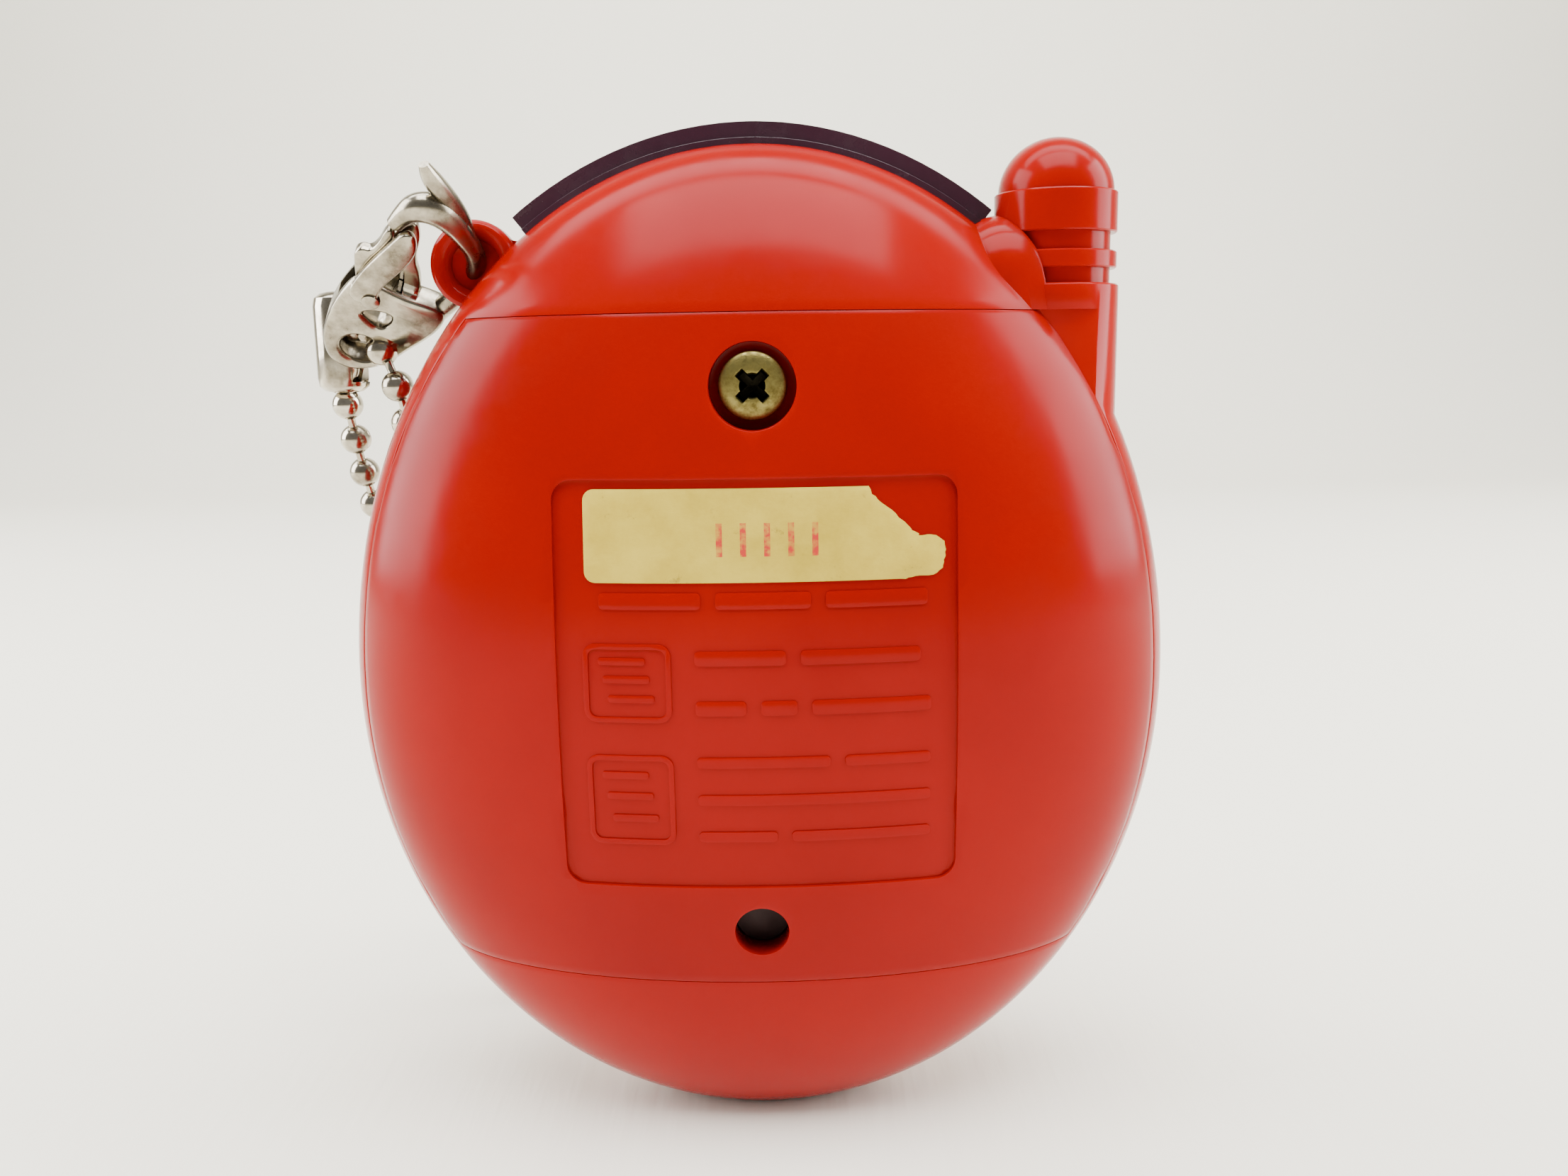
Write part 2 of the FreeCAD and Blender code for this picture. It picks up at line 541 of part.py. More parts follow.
def make_battery():
    floor = "cell_floor + 0.2"
    can = cylinder("cell_can", "cell_size", "cell_floor + 0.7", "cell_floor + 0.2 + cell_thick",
                   z="cell_height")
    cap = cylinder("cell_cap", "cell_size - 1.2", floor, "cell_floor + 0.7", z="cell_height")
    keep(fuse("cell_shape", can, cap), "button_cell")
    plate = box("negative_strip", ("-1.2", "1.2"), ("cell_floor + 0.02", floor),
                ("cell_height - cell_size - 2.4", "cell_height + 3"))
    tail = box("negative_tail", ("-1.2", "1.2"), ("board_back", floor),
               ("cell_height - cell_size - 2.6", "cell_height - cell_size - 2.4"))
    keep(fuse("negative_shape", plate, tail), "negative_contact")
    finger = box("positive_finger", ("-1.5", "1.5"), ("cell_floor + 0.8", "cell_floor + 3.0"),
                 ("cell_height + cell_size + 0.02", "cell_height + cell_size + 0.24"))
    lead = box("positive_lead", ("-1.5", "-0.3"), ("board_back", "cell_floor + 0.8"),
               ("cell_height + cell_size + 0.02", "cell_height + cell_size + 0.24"))
    keep(fuse("positive_shape", finger, lead), "positive_contact")


def make_case_screws():
    rods = []
    for n, (side, height) in enumerate(bolt_places):
        rods.append(cylinder(f"case_head_{n}", "bolt_head", "3.2", "3.2 + bolt_thick",
                             x=bolt_x(side), z=height))
        rods.append(cylinder(f"case_shank_{n}", "0.75", "-5.5", "3.2", x=bolt_x(side), z=height))
    keep(fuse("case_screws_shape", *rods), "case_screws")


def make_buttons():
    for side, label in ((-1, "button_left"), (0, "button_middle"), (1, "button_right")):
        x = f"{side} * button_spread"
        level = button_level(side)
        surface = back_surface(side * SIZES["button_spread"],
                               SIZES["button_height"] - (1 - abs(side)) * SIZES["button_drop"])
        stem = cylinder(label + "_stem", "button_thick", f"-{surface + 0.6:.2f}", "-button_foot",
                        x=x, z=level)
        dome = doc.addObject("Part::Ellipsoid", label + "_dome")
        bind(dome, Radius1="0.7", Radius2="button_thick", Radius3="button_thick")
        dome.Angle1 = 0
        dome.Angle2 = 90
        dome.Placement.Rotation = Rotation(Vector(1, 0, 0), 90)
        place(dome, x, f"-{surface + 0.6:.2f}", level)
        flange = cylinder(label + "_flange", "button_thick + 0.6", "-button_foot - 0.9",
                          "-button_foot", x=x, z=level)
        keep(fuse(label + "_shape", stem, dome, flange), label)
    sheet_plate = rounded_column("pad_sheet", "24.5", "7.4", "2.8", "-1.2", "-board_front",
                                 z="button_height - 0.8")
    wells = [cylinder(f"pad_well_{n}", "button_thick + 0.5", "-2", "-board_front - 0.35",
                      x=f"{side} * button_spread", z=button_level(side))
             for n, side in enumerate((-1, 0, 1))]
    keep(cut("pad_shape", sheet_plate, *wells), "button_pad")


def make_reset():
    plunger = cylinder("reset_plunger", "1.6", "board_back + reset_travel + 0.6", "7.4",
                       z="reset_height")
    keep(plunger, "reset_button")
    dome = cut("reset_dome_shape",
               cylinder("reset_dome_outer", "1.5", "board_back", "board_back + 0.5",
                        z="reset_height"),
               cylinder("reset_dome_inner", "1.1", "board_back - 1", "board_back + 0.3",
                        z="reset_height"))
    keep(dome, "reset_contact_dome")


def make_label():
    column = rounded_column("label_column", "20.6", "5.3", "0.5", "2", "half_depth + 3",
                            x="-0.6", z="panel_high - 2.95")
    paper = skin("label_skin", "panel_depth - 0.13", "panel_depth - 0.01")
    tear = cylinder("label_tear", "3.4", "2", "half_depth + 3", x="-9.9", z="panel_high + 0.8")
    keep(cut("label_shape", common("label_whole", column, paper), tear), "number_label")


def lay_out(item):
    """Turn an object drawn flat, with Z through the clasp's plate, into the clasp's place."""
    normal = CLASP_ACROSS.cross(CLASP_LONG)
    turn = FreeCAD.Matrix(CLASP_ACROSS.x, CLASP_LONG.x, normal.x, CLASP_TOP.x,
                          CLASP_ACROSS.y, CLASP_LONG.y, normal.y, CLASP_TOP.y,
                          CLASP_ACROSS.z, CLASP_LONG.z, normal.z, CLASP_TOP.z,
                          0, 0, 0, 1)
    item.Placement = FreeCAD.Placement(turn)
    return item


def flat_rod(name, radius, start, end, radius_end=None):
    """A straight rod or cone in the clasp's own plane."""
    made = doc.addObject("Part::Cone" if radius_end else "Part::Cylinder", name)
    run = Vector(*end, 0) - Vector(*start, 0)
    if radius_end:
        bind(made, Radius1=radius, Radius2=radius_end, Height=run.Length)
    else:
        bind(made, Radius=radius, Height=run.Length)
    made.Placement = FreeCAD.Placement(Vector(*start, 0), Rotation(Vector(0, 0, 1), run))
    return made


def flat_arc(name, middle, radius, thick, first, last):
    made = doc.addObject("Part::Torus", name)
    bind(made, Radius1=radius, Radius2=thick)
    made.Angle3 = last - first
    made.Placement = FreeCAD.Placement(Vector(*middle, 0), Rotation(Vector(0, 0, 1), first))
    return made


def flat_box(name, x, y, z):
    made = doc.addObject("Part::Box", name)
    bind(made, Length=x[1] - x[0], Width=y[1] - y[0], Height=z[1] - z[0])
    place(made, x[0], y[0], z[0])
    return made


def flat_disc(name, radius, middle, low, high):
    made = doc.addObject("Part::Cylinder", name)
    bind(made, Radius=radius, Height=high - low)
    place(made, middle[0], middle[1], low)
    return made


LEVER_PIN = (-1.75, -4.3)


def make_clasp():
    bend = flat_arc("clasp_bend", (0, 0), 2.75, 0.6, -8, 165)
    side = flat_rod("clasp_side", 0.6, (2.72, -0.4), (2.1, -3.9))
    horn = flat_rod("clasp_horn", 0.62, (-2.2, 1.2), (-3.3, 4.6), 0.12)
    base = fuse("clasp_base",
                flat_box("clasp_base_plate", (-2.7, 2.7), (-5.6, -3.2), (-1.1, 1.1)),
                flat_disc("clasp_base_left", 1.1, (-1.7, -4.5), -1.1, 1.1),
                flat_disc("clasp_base_low", 1.5, (0.2, -5.6), -1.1, 1.1))
    eye = flat_arc("clasp_eye", (-0.4, -8.0), 1.7, 0.5, 0, 360)
    slot = flat_box("clasp_slot", (-4, 0.2), (-5.25, -3.0), (-0.55, 0.55))
    pin_hole = flat_disc("clasp_pin_hole", 0.35, LEVER_PIN, -2, 2)
    whole = cut("clasp_shape", fuse("clasp_solid", bend, side, horn, base, eye), slot, pin_hole)
    keep(lay_out(whole), "clasp_body")
    arm = flat_rod("lever_arm", 0.42, LEVER_PIN, (-2.68, 0.42))
    knuckle = flat_disc("lever_knuckle", 0.8, LEVER_PIN, -0.45, 0.45)
    thumb = flat_rod("lever_thumb", 0.4, (-2.2, -2.2), (-3.7, -1.3), 0.2)
    hole = flat_disc("lever_hole", 0.39, LEVER_PIN, -2, 2)
    keep(lay_out(cut("lever_shape", fuse("lever_solid", arm, knuckle, thumb), hole)), "clasp_lever")
    pin = fuse("pin_shape", flat_disc("pin_shank", 0.34, LEVER_PIN, -1.2, 1.2),
               flat_disc("pin_head", 0.55, LEVER_PIN, 1.1, 1.3))
    keep(lay_out(pin), "clasp_pin")
    leaf = fuse("leaf_shape", flat_box("leaf_blade", (-0.65, -0.45), (-4.9, -3.1), (-0.4, 0.4)),
                flat_box("leaf_foot", (-0.65, 0.18), (-5.0, -4.8), (-0.4, 0.4)))
    keep(lay_out(leaf), "clasp_spring")


CONNECTOR_MIDDLE = (27.2, -6.9)
CONNECTOR_LOW = 45.9
CONNECTOR_HIGH = 52.4


def make_connector():
    x, y = CONNECTOR_MIDDLE
    low, high = CONNECTOR_LOW, CONNECTOR_HIGH
    barrel = cylinder("connector_barrel", "1.65", low, high, x=x, y=y, upright=True)
    bore = cylinder("connector_bore", "1.25", low + 0.4, high - 0.4, x=x, y=y, upright=True)
    mouth = cylinder("connector_mouth", "0.55", low - 1, high + 1, x=x, y=y, upright=True)
    gap = box("connector_gap", (x - 3, x), (y - 0.45, y + 0.45), (low - 1, high + 1))
    keep(cut("connector_shape", barrel, bore, mouth, gap), "chain_connector")


def make_chain_end():
    """The two balls and links between the clasp's eye and the connector's upper seat."""
    eye = CLASP_TOP + CLASP_LONG * -8.0 + CLASP_ACROSS * -0.4
    seat = Vector(CONNECTOR_MIDDLE[0], CONNECTOR_MIDDLE[1], CONNECTOR_HIGH - 1.5)
    run = seat - eye
    beads = []
    for n, share in enumerate((0.5, 1.0)):
        bead = doc.addObject("Part::Sphere", f"end_ball_{n}")
        bind(bead, Radius=BALL / 2)
        bead.Placement.Base = eye + run * share
        beads.append(bead)
    link = doc.addObject("Part::Cylinder", "end_link")
    bind(link, Radius="0.3", Height=run.Length * 0.9)
    link.Placement = FreeCAD.Placement(eye + run * 0.1, Rotation(Vector(0, 0, 1), run))
    keep(fuse("end_balls_shape", link, *beads), "chain_end_balls")


# Ball chain, from the clasp's eye down behind the egg, along the table and up to the connector.
CHAIN_ROUTE = [
    (24.2, -4.0, 49.6), (22.6, -3.2, 47.0), (22.4, -4.6, 42.6), (22.3, -7.2, 37.4),
    (21.4, -9.6, 30.0), (19.6, -11.6, 20.8), (17.3, -12.8, 12.4), (14.6, -13.4, 5.6),
    (10.0, -13.6, 1.5), (4.2, -13.4, 1.0), (-0.2, -17.4, 1.0), (-0.2, -23.3, 1.0),
    (4.0, -27.5, 1.0), (10.0, -27.5, 1.2), (15.4, -25.6, 2.6), (19.4, -22.4, 7.0),
    (22.6, -18.6, 14.8), (24.9, -14.6, 25.4), (26.4, -10.6, 36.0), (27.1, -8.0, 42.3),
    (27.2, -6.9, 45.9),
]


def make_chain():
    points = [Vector(*point) for point in CHAIN_ROUTE]
    edges = []
    start = points[0]
    for before, corner, after in zip(points, points[1:], points[2:]):
        back = (before - corner).normalize()
        ahead = (after - corner).normalize()
        run = min((before - corner).Length, (after - corner).Length)
        half_turn = (math.pi - back.getAngle(ahead)) / 2
        radius = 0.45 * run / math.tan(half_turn)
        reach = 0.45 * run
        middle = corner + (back + ahead).normalize() * (radius / math.cos(half_turn) - radius)
        first = corner + back * reach
        last = corner + ahead * reach
        edges.append(Part.LineSegment(start, first).toShape())
        edges.append(Part.Arc(first, middle, last).toShape())
        print(f"chain bend radius {radius:.1f}")
        start = last
    edges.append(Part.LineSegment(start, points[-1]).toShape())
    path = Part.Wire(edges)
    ring = Part.Wire(Part.Circle(points[0], points[1] - points[0], BALL / 2).toShape())
    tube = path.makePipeShell([ring], True, False)
    made = doc.addObject("Part::Feature", "chain_tube")
    made.Shape = tube
    print(f"chain length {path.Length:.1f}, volume {tube.Volume / (math.pi * BALL ** 2 / 4):.1f}")
    keep(made, "ball_chain")


make_front_shell()
make_back_shell()
make_window()
make_antenna()
make_door()
make_door_screw()
make_front_face()
make_display()
make_board()
make_components()
make_battery()
make_case_screws()
make_buttons()
make_reset()
make_label()
make_clasp()
make_connector()
make_chain_end()
make_chain()
doc.recompute()

faults = [item.Name for item in doc.Objects if {"Invalid", "Error"} & set(item.State)]
faults += [item.Label for item in parts if item.Shape.isNull() or not item.Shape.isValid()]
if faults:
    raise SystemExit(f"not built: {faults}")
os.makedirs("parts", exist_ok=True)
for item in parts:
    item.Shape.exportStep(f"parts/{item.Label}.step")
    print(f"{item.Label} {item.Shape.Volume:.1f} mm3, {len(item.Shape.Solids)} solids")
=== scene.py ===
import json
import math
import random
import bmesh
import bpy
from mathutils import Matrix, Vector


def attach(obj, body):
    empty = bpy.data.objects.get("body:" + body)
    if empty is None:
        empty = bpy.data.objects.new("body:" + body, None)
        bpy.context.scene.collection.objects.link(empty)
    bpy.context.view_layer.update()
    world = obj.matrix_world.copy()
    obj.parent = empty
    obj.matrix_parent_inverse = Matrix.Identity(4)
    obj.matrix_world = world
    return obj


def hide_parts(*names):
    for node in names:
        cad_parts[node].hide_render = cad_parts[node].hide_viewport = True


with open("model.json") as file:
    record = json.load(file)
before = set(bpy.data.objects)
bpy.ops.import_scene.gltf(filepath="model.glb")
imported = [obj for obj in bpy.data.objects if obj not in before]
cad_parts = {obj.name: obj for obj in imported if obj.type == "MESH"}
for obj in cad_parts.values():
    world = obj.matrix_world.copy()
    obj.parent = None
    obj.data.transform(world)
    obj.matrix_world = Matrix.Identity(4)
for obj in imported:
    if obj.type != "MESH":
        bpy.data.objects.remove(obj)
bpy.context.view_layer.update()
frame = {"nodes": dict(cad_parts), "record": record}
mm = 0.001
upright = (0, 0, 0)
alongY = (math.radians(-90), 0, 0)      # turns +Z to +Y
alongMinusY = (math.radians(90), 0, 0)  # turns +Z to -Y


# small helpers for the mesh work

def deselectAll():
    if bpy.context.object and bpy.context.object.mode != "OBJECT":
        bpy.ops.object.mode_set(mode="OBJECT")
    bpy.ops.object.select_all(action="DESELECT")


def activate(piece):
    deselectAll()
    piece.select_set(True)
    bpy.context.view_layer.objects.active = piece


def settle(piece):
    # puts the object's place, turn and size into its mesh
    activate(piece)
    bpy.ops.object.transform_apply(location=True, rotation=True, scale=True)
    return piece


def addPrimitive(kind, name, **sizes):
    deselectAll()
    getattr(bpy.ops.mesh, f"primitive_{kind}_add")(**sizes)
    piece = bpy.context.object
    piece.name = name
    return piece


def pick(piece, kind, test):
    # edit mode, with only the wanted verts, edges or faces selected
    activate(piece)
    bpy.ops.object.mode_set(mode="EDIT")
    bpy.ops.mesh.select_mode(type={"verts": "VERT", "edges": "EDGE", "faces": "FACE"}[kind])
    bpy.ops.mesh.select_all(action="DESELECT")
    shape = bmesh.from_edit_mesh(piece.data)
    for part in getattr(shape, kind):
        if test(part):
            part.select_set(True)
    bmesh.update_edit_mesh(piece.data)


def leaveEdit():
    bpy.ops.object.mode_set(mode="OBJECT")


def editAll(piece):
    activate(piece)
    bpy.ops.object.mode_set(mode="EDIT")
    bpy.ops.mesh.select_all(action="SELECT")


def sliceAway(piece, at, facing, fill=False):
    # drops what lies beyond the plane, on the side that it faces
    editAll(piece)
    bpy.ops.mesh.bisect(plane_co=[c * mm for c in at], plane_no=facing, use_fill=fill,
                        clear_outer=True)
    leaveEdit()


def applyModifier(piece, kind, **settings):
    activate(piece)
    step = piece.modifiers.new(kind.lower(), kind)
    for name, value in settings.items():
        setattr(step, name, value)
    bpy.ops.object.modifier_apply(modifier=step.name)
    return piece


def carve(piece, cutter, operation="DIFFERENCE"):
    applyModifier(piece, "BOOLEAN", operation=operation, solver="EXACT", object=cutter)
    bpy.data.objects.remove(cutter, do_unlink=True)
    return piece


def mergeClose(piece, gap=0.004):
    editAll(piece)
    bpy.ops.mesh.remove_doubles(threshold=gap * mm)
    bpy.ops.mesh.normals_make_consistent(inside=False)
    leaveEdit()
    return piece


def joined(name, pieces):
    deselectAll()
    for piece in pieces:
        piece.select_set(True)
    bpy.context.view_layer.objects.active = pieces[0]
    bpy.ops.object.join()
    pieces[0].name = name
    return pieces[0]


def roundEdges(piece, width, segments=2, angle=34, gap=0.02):
    mergeClose(piece, gap)
    return applyModifier(piece, "BEVEL", width=width * mm, segments=segments,
                         limit_method="ANGLE", angle_limit=math.radians(angle))


def lathe(name, steps, turn=upright, at=(0, 0, 0), segments=96):
    # a round piece: a disc, extruded and resized from one (radius, height) step to the next
    radius, height = steps[0]
    piece = addPrimitive("circle", name, vertices=segments, radius=radius * mm, fill_type="NGON",
                         location=(0, 0, height * mm))
    settle(piece)
    editAll(piece)
    for nextRadius, nextHeight in steps[1:]:
        bpy.ops.mesh.extrude_region_move(
            TRANSFORM_OT_translate={"value": (0, 0, (nextHeight - height) * mm)})
        share = nextRadius / radius
        bpy.ops.transform.resize(value=(share, share, 1), center_override=(0, 0, nextHeight * mm))
        radius, height = nextRadius, nextHeight
    bpy.ops.mesh.select_all(action="SELECT")
    bpy.ops.mesh.normals_make_consistent(inside=False)
    leaveEdit()
    piece.rotation_euler = turn
    piece.location = [c * mm for c in at]
    return settle(piece)


def rod(name, radius, low, high, x=0, z=0, segments=64):
    # a plain cylinder along Y, for cutting with
    return lathe(name, [(radius, low), (radius, high)], alongY, (x, 0, z), segments)


def block(name, x, y, z):
    piece = addPrimitive("cube", name, size=1,
                         location=[(low + high) / 2 * mm for low, high in (x, y, z)])
    piece.scale = [(high - low) * mm for low, high in (x, y, z)]
    return settle(piece)


def roundedColumn(name, width, height, corner, y, x=0, z=0):
    # a rounded rectangle seen along Y
    piece = block(name, (x - width / 2, x + width / 2), y, (z - height / 2, z + height / 2))
    pick(piece, "edges", lambda edge: abs(edge.verts[0].co.y - edge.verts[1].co.y) > 0.5 * mm)
    bpy.ops.mesh.bevel(offset=corner * mm, segments=12, affect="EDGES")
    leaveEdit()
    return piece


def dress(piece, body, slot, nodes=(), angle=40):
    activate(piece)
    bpy.ops.object.shade_smooth_by_angle(angle=math.radians(angle))
    piece.data.materials.clear()
    piece.data.materials.append(finishes[slot])
    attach(piece, body)
    if nodes:
        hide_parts(*nodes)
    return piece


# camera, at the height of the egg's shoulder behind the battery door

camera = {"place": (-1.55, 78.4, 47.4), "down": 10, "roll": 0.89, "lens": 29.3}


def addCamera():
    bpy.ops.object.camera_add(location=[c * mm for c in camera["place"]])
    eye = bpy.context.object
    down, roll = math.radians(camera["down"]), math.radians(camera["roll"])
    ahead = Vector((0, -math.cos(down), -math.sin(down)))
    right = Vector((-1, 0, 0))
    top = right.cross(ahead)
    tiltedRight = right * math.cos(roll) - top * math.sin(roll)
    tiltedTop = right * math.sin(roll) + top * math.cos(roll)
    eye.rotation_euler = Matrix((tiltedRight, tiltedTop, -ahead)).transposed().to_euler()
    eye.data.lens = camera["lens"]
    eye.data.clip_start = 0.001
    eye.data.clip_end = 20
    bpy.context.scene.camera = eye


addCamera()
print("camera is in place")


# finishes, all of them procedural

def startFinish(name, **sockets):
    material = bpy.data.materials.new(name)
    material.use_nodes = True
    nodes, links = material.node_tree.nodes, material.node_tree.links
    shader = nodes["Principled BSDF"]
    for socket, value in sockets.items():
        shader.inputs[socket.replace("_", " ")].default_value = value
    place = nodes.new("ShaderNodeTexCoord")
    return material, nodes, links, shader, place.outputs["Object"]


def addNoise(nodes, links, place, scale, detail=3.0, roughness=0.55, stretch=None):
    noise = nodes.new("ShaderNodeTexNoise")
    noise.inputs["Scale"].default_value = scale
    noise.inputs["Detail"].default_value = detail
    noise.inputs["Roughness"].default_value = roughness
    if stretch:
        turn = nodes.new("ShaderNodeMapping")
        turn.inputs["Rotation"].default_value = stretch[0]
        turn.inputs["Scale"].default_value = stretch[1]
        links.new(place, turn.inputs["Vector"])
        place = turn.outputs["Vector"]
    links.new(place, noise.inputs["Vector"])
    return noise.outputs["Fac"]


def remap(nodes, links, value, low, high, first, last):
    change = nodes.new("ShaderNodeMapRange")
    for name, number in (("From Min", low), ("From Max", high), ("To Min", first), ("To Max", last)):
        change.inputs[name].default_value = number
    links.new(value, change.inputs["Value"])
    return change.outputs["Result"]


def mixColours(nodes, links, share, first, last):
    mix = nodes.new("ShaderNodeMix")
    mix.data_type = "RGBA"
    links.new(share, mix.inputs[0])
    for socket, colour in ((mix.inputs[6], first), (mix.inputs[7], last)):
        if isinstance(colour, tuple):
            socket.default_value = (*colour, 1)
        else:
            links.new(colour, socket)
    return mix.outputs[2]


def addBump(nodes, links, shader, height, depth, under=None, strength=1.0):
    bump = nodes.new("ShaderNodeBump")
    bump.inputs["Strength"].default_value = strength
    bump.inputs["Distance"].default_value = depth * mm
    links.new(height, bump.inputs["Height"])
    if under:
        links.new(under, bump.inputs["Normal"])
    links.new(bump.outputs["Normal"], shader.inputs["Normal"])
    return bump.outputs["Normal"]


def moulded(name, light, dark, gloss=(0.14, 0.24), patch=55, grain=2600, depth=0.0016, **sockets):
    # moulded plastic: faint flow marks in its colour, a fine skin, rubbed spots and hair scratches
    material, nodes, links, shader, place = startFinish(name, **sockets)
    flow = addNoise(nodes, links, place, patch, 4)
    links.new(mixColours(nodes, links, remap(nodes, links, flow, 0.35, 0.65, 0, 1), light, dark),
              shader.inputs["Base Color"])
    rubbed = addNoise(nodes, links, place, patch * 4, 5, 0.7)
    links.new(remap(nodes, links, rubbed, 0.38, 0.68, *gloss), shader.inputs["Roughness"])
    skin = addNoise(nodes, links, place, grain, 2)
    scratches = addNoise(nodes, links, place, 900, 1, 0.4, ((0.3, 0.9, 0.5), (1, 0.04, 1)))
    lines = remap(nodes, links, scratches, 0.68, 0.74, 0, -1)
    first = addBump(nodes, links, shader, skin, depth)
    addBump(nodes, links, shader, lines, depth * 0.5, first)
    return material


def plated(name, bright, dull, gloss=(0.08, 0.3), patch=700, stretch=None, depth=0.002):
    # plated or bare metal: tarnish in patches, fine pits and rubbing
    material, nodes, links, shader, place = startFinish(name, Metallic=1.0)
    tarnish = addNoise(nodes, links, place, patch, 6, 0.65, stretch)
    share = remap(nodes, links, tarnish, 0.4, 0.66, 0, 1)
    links.new(mixColours(nodes, links, share, bright, dull), shader.inputs["Base Color"])
    links.new(remap(nodes, links, tarnish, 0.35, 0.7, *gloss), shader.inputs["Roughness"])
    pits = addNoise(nodes, links, place, patch * 5, 3)
    addBump(nodes, links, shader, pits, depth)
    return material


def paintedShadeInside(material, deep, shallow):
    # painted shade: what lies deeper along Y (the cross recess and the head's rim) goes near-black,
    # standing in for the shade that falls there
    nodes, links = material.node_tree.nodes, material.node_tree.links
    shader = nodes["Principled BSDF"]
    colour = shader.inputs["Base Color"].links[0].from_socket
    axes = nodes.new("ShaderNodeSeparateXYZ")
    links.new(nodes["Texture Coordinate"].outputs["Object"], axes.inputs["Vector"])
    share = remap(nodes, links, axes.outputs["Y"], deep * mm, shallow * mm, 1, 0)
    # painted shade colour, near-black, mixed over the finish's own colour by depth
    links.new(mixColours(nodes, links, share, colour, (0.006, 0.005, 0.003)),
              shader.inputs["Base Color"])
    return material


def matt(name, light, dark, patch=400, grain=5000, roughness=(0.55, 0.8), depth=0.004, **sockets):
    material, nodes, links, shader, place = startFinish(name, **sockets)
    patches = addNoise(nodes, links, place, patch, 5, 0.6)
    links.new(mixColours(nodes, links, remap(nodes, links, patches, 0.35, 0.65, 0, 1), light, dark),
              shader.inputs["Base Color"])
    links.new(remap(nodes, links, patches, 0.3, 0.7, *roughness), shader.inputs["Roughness"])
    addBump(nodes, links, shader, addNoise(nodes, links, place, grain, 2), depth)
    return material


labelPrint = {"x": (-3.45, 2.4), "z": (37.15, 38.95), "pitch": 1.3, "stroke": 0.34}


def labelFinish(name):
    # aged gold paper: cloudy yellow, brown stains, fibres, and a row of plain red strokes
    material, nodes, links, shader, place = startFinish(name, Specular_IOR_Level=0.2)
    clouds = addNoise(nodes, links, place, 260, 6, 0.7)
    paper = mixColours(nodes, links, remap(nodes, links, clouds, 0.34, 0.66, 0, 1),
                       (0.43, 0.31, 0.028), (0.56, 0.42, 0.05))
    stain = addNoise(nodes, links, place, 900, 5, 0.75)
    stained = mixColours(nodes, links, remap(nodes, links, stain, 0.62, 0.74, 0, 0.8),
                         paper, (0.20, 0.13, 0.015))
    axes = nodes.new("ShaderNodeSeparateXYZ")
    links.new(place, axes.inputs["Vector"])

    def compute(operation, first, second):
        step = nodes.new("ShaderNodeMath")
        step.operation = operation
        for socket, value in zip(step.inputs, (first, second)):
            if isinstance(value, (int, float)):
                socket.default_value = value
            else:
                links.new(value, socket)
        return step.outputs[0]

    inX = compute("MULTIPLY", compute("GREATER_THAN", axes.outputs["X"], labelPrint["x"][0] * mm),
                  compute("LESS_THAN", axes.outputs["X"], labelPrint["x"][1] * mm))
    inZ = compute("MULTIPLY", compute("GREATER_THAN", axes.outputs["Z"], labelPrint["z"][0] * mm),
                  compute("LESS_THAN", axes.outputs["Z"], labelPrint["z"][1] * mm))
    fromEnd = compute("SUBTRACT", axes.outputs["X"], labelPrint["x"][0] * mm)
    along = compute("FLOORED_MODULO", fromEnd, labelPrint["pitch"] * mm)
    stroke = compute("LESS_THAN", along, labelPrint["stroke"] * mm)
    faded = remap(nodes, links, addNoise(nodes, links, place, 2600, 3), 0.35, 0.6, 0.3, 0.95)
    ink = compute("MULTIPLY", compute("MULTIPLY", inX, inZ), compute("MULTIPLY", stroke, faded))
    links.new(mixColours(nodes, links, ink, stained, (0.45, 0.015, 0.02)),
              shader.inputs["Base Color"])
    links.new(remap(nodes, links, clouds, 0.3, 0.7, 0.42, 0.62), shader.inputs["Roughness"])
    fibres = addNoise(nodes, links, place, 3000, 4, 0.7, ((0, 0, 0), (0.4, 1, 1)))
    addBump(nodes, links, shader, fibres, 0.02)
    return material


def lensFinish(name, tint):
    material, nodes, links, shader, place = startFinish(
        name, Transmission_Weight=1.0, IOR=1.46, Base_Color=(*tint, 1))
    wear = addNoise(nodes, links, place, 900, 5, 0.7)
    links.new(remap(nodes, links, wear, 0.4, 0.72, 0.02, 0.12), shader.inputs["Roughness"])
    return material


def boardFinish(name):
    # solder mask with copper tracks showing through
    material, nodes, links, shader, place = startFinish(name, IOR=1.5)
    tracks = nodes.new("ShaderNodeTexBrick")
    tracks.offset = 0.37
    tracks.inputs["Scale"].default_value = 120
    tracks.inputs["Mortar Size"].default_value = 0.035
    tracks.inputs["Color1"].default_value = (0.015, 0.16, 0.045, 1)
    tracks.inputs["Color2"].default_value = (0.02, 0.19, 0.055, 1)
    tracks.inputs["Mortar"].default_value = (0.05, 0.3, 0.1, 1)
    turn = nodes.new("ShaderNodeMapping")
    turn.inputs["Rotation"].default_value = (math.radians(90), 0, 0)
    links.new(place, turn.inputs["Vector"])
    links.new(turn.outputs["Vector"], tracks.inputs["Vector"])
    links.new(tracks.outputs["Color"], shader.inputs["Base Color"])
    links.new(remap(nodes, links, addNoise(nodes, links, place, 800), 0.3, 0.7, 0.25, 0.4),
              shader.inputs["Roughness"])
    addBump(nodes, links, shader, tracks.outputs["Fac"], 0.02)
    return material


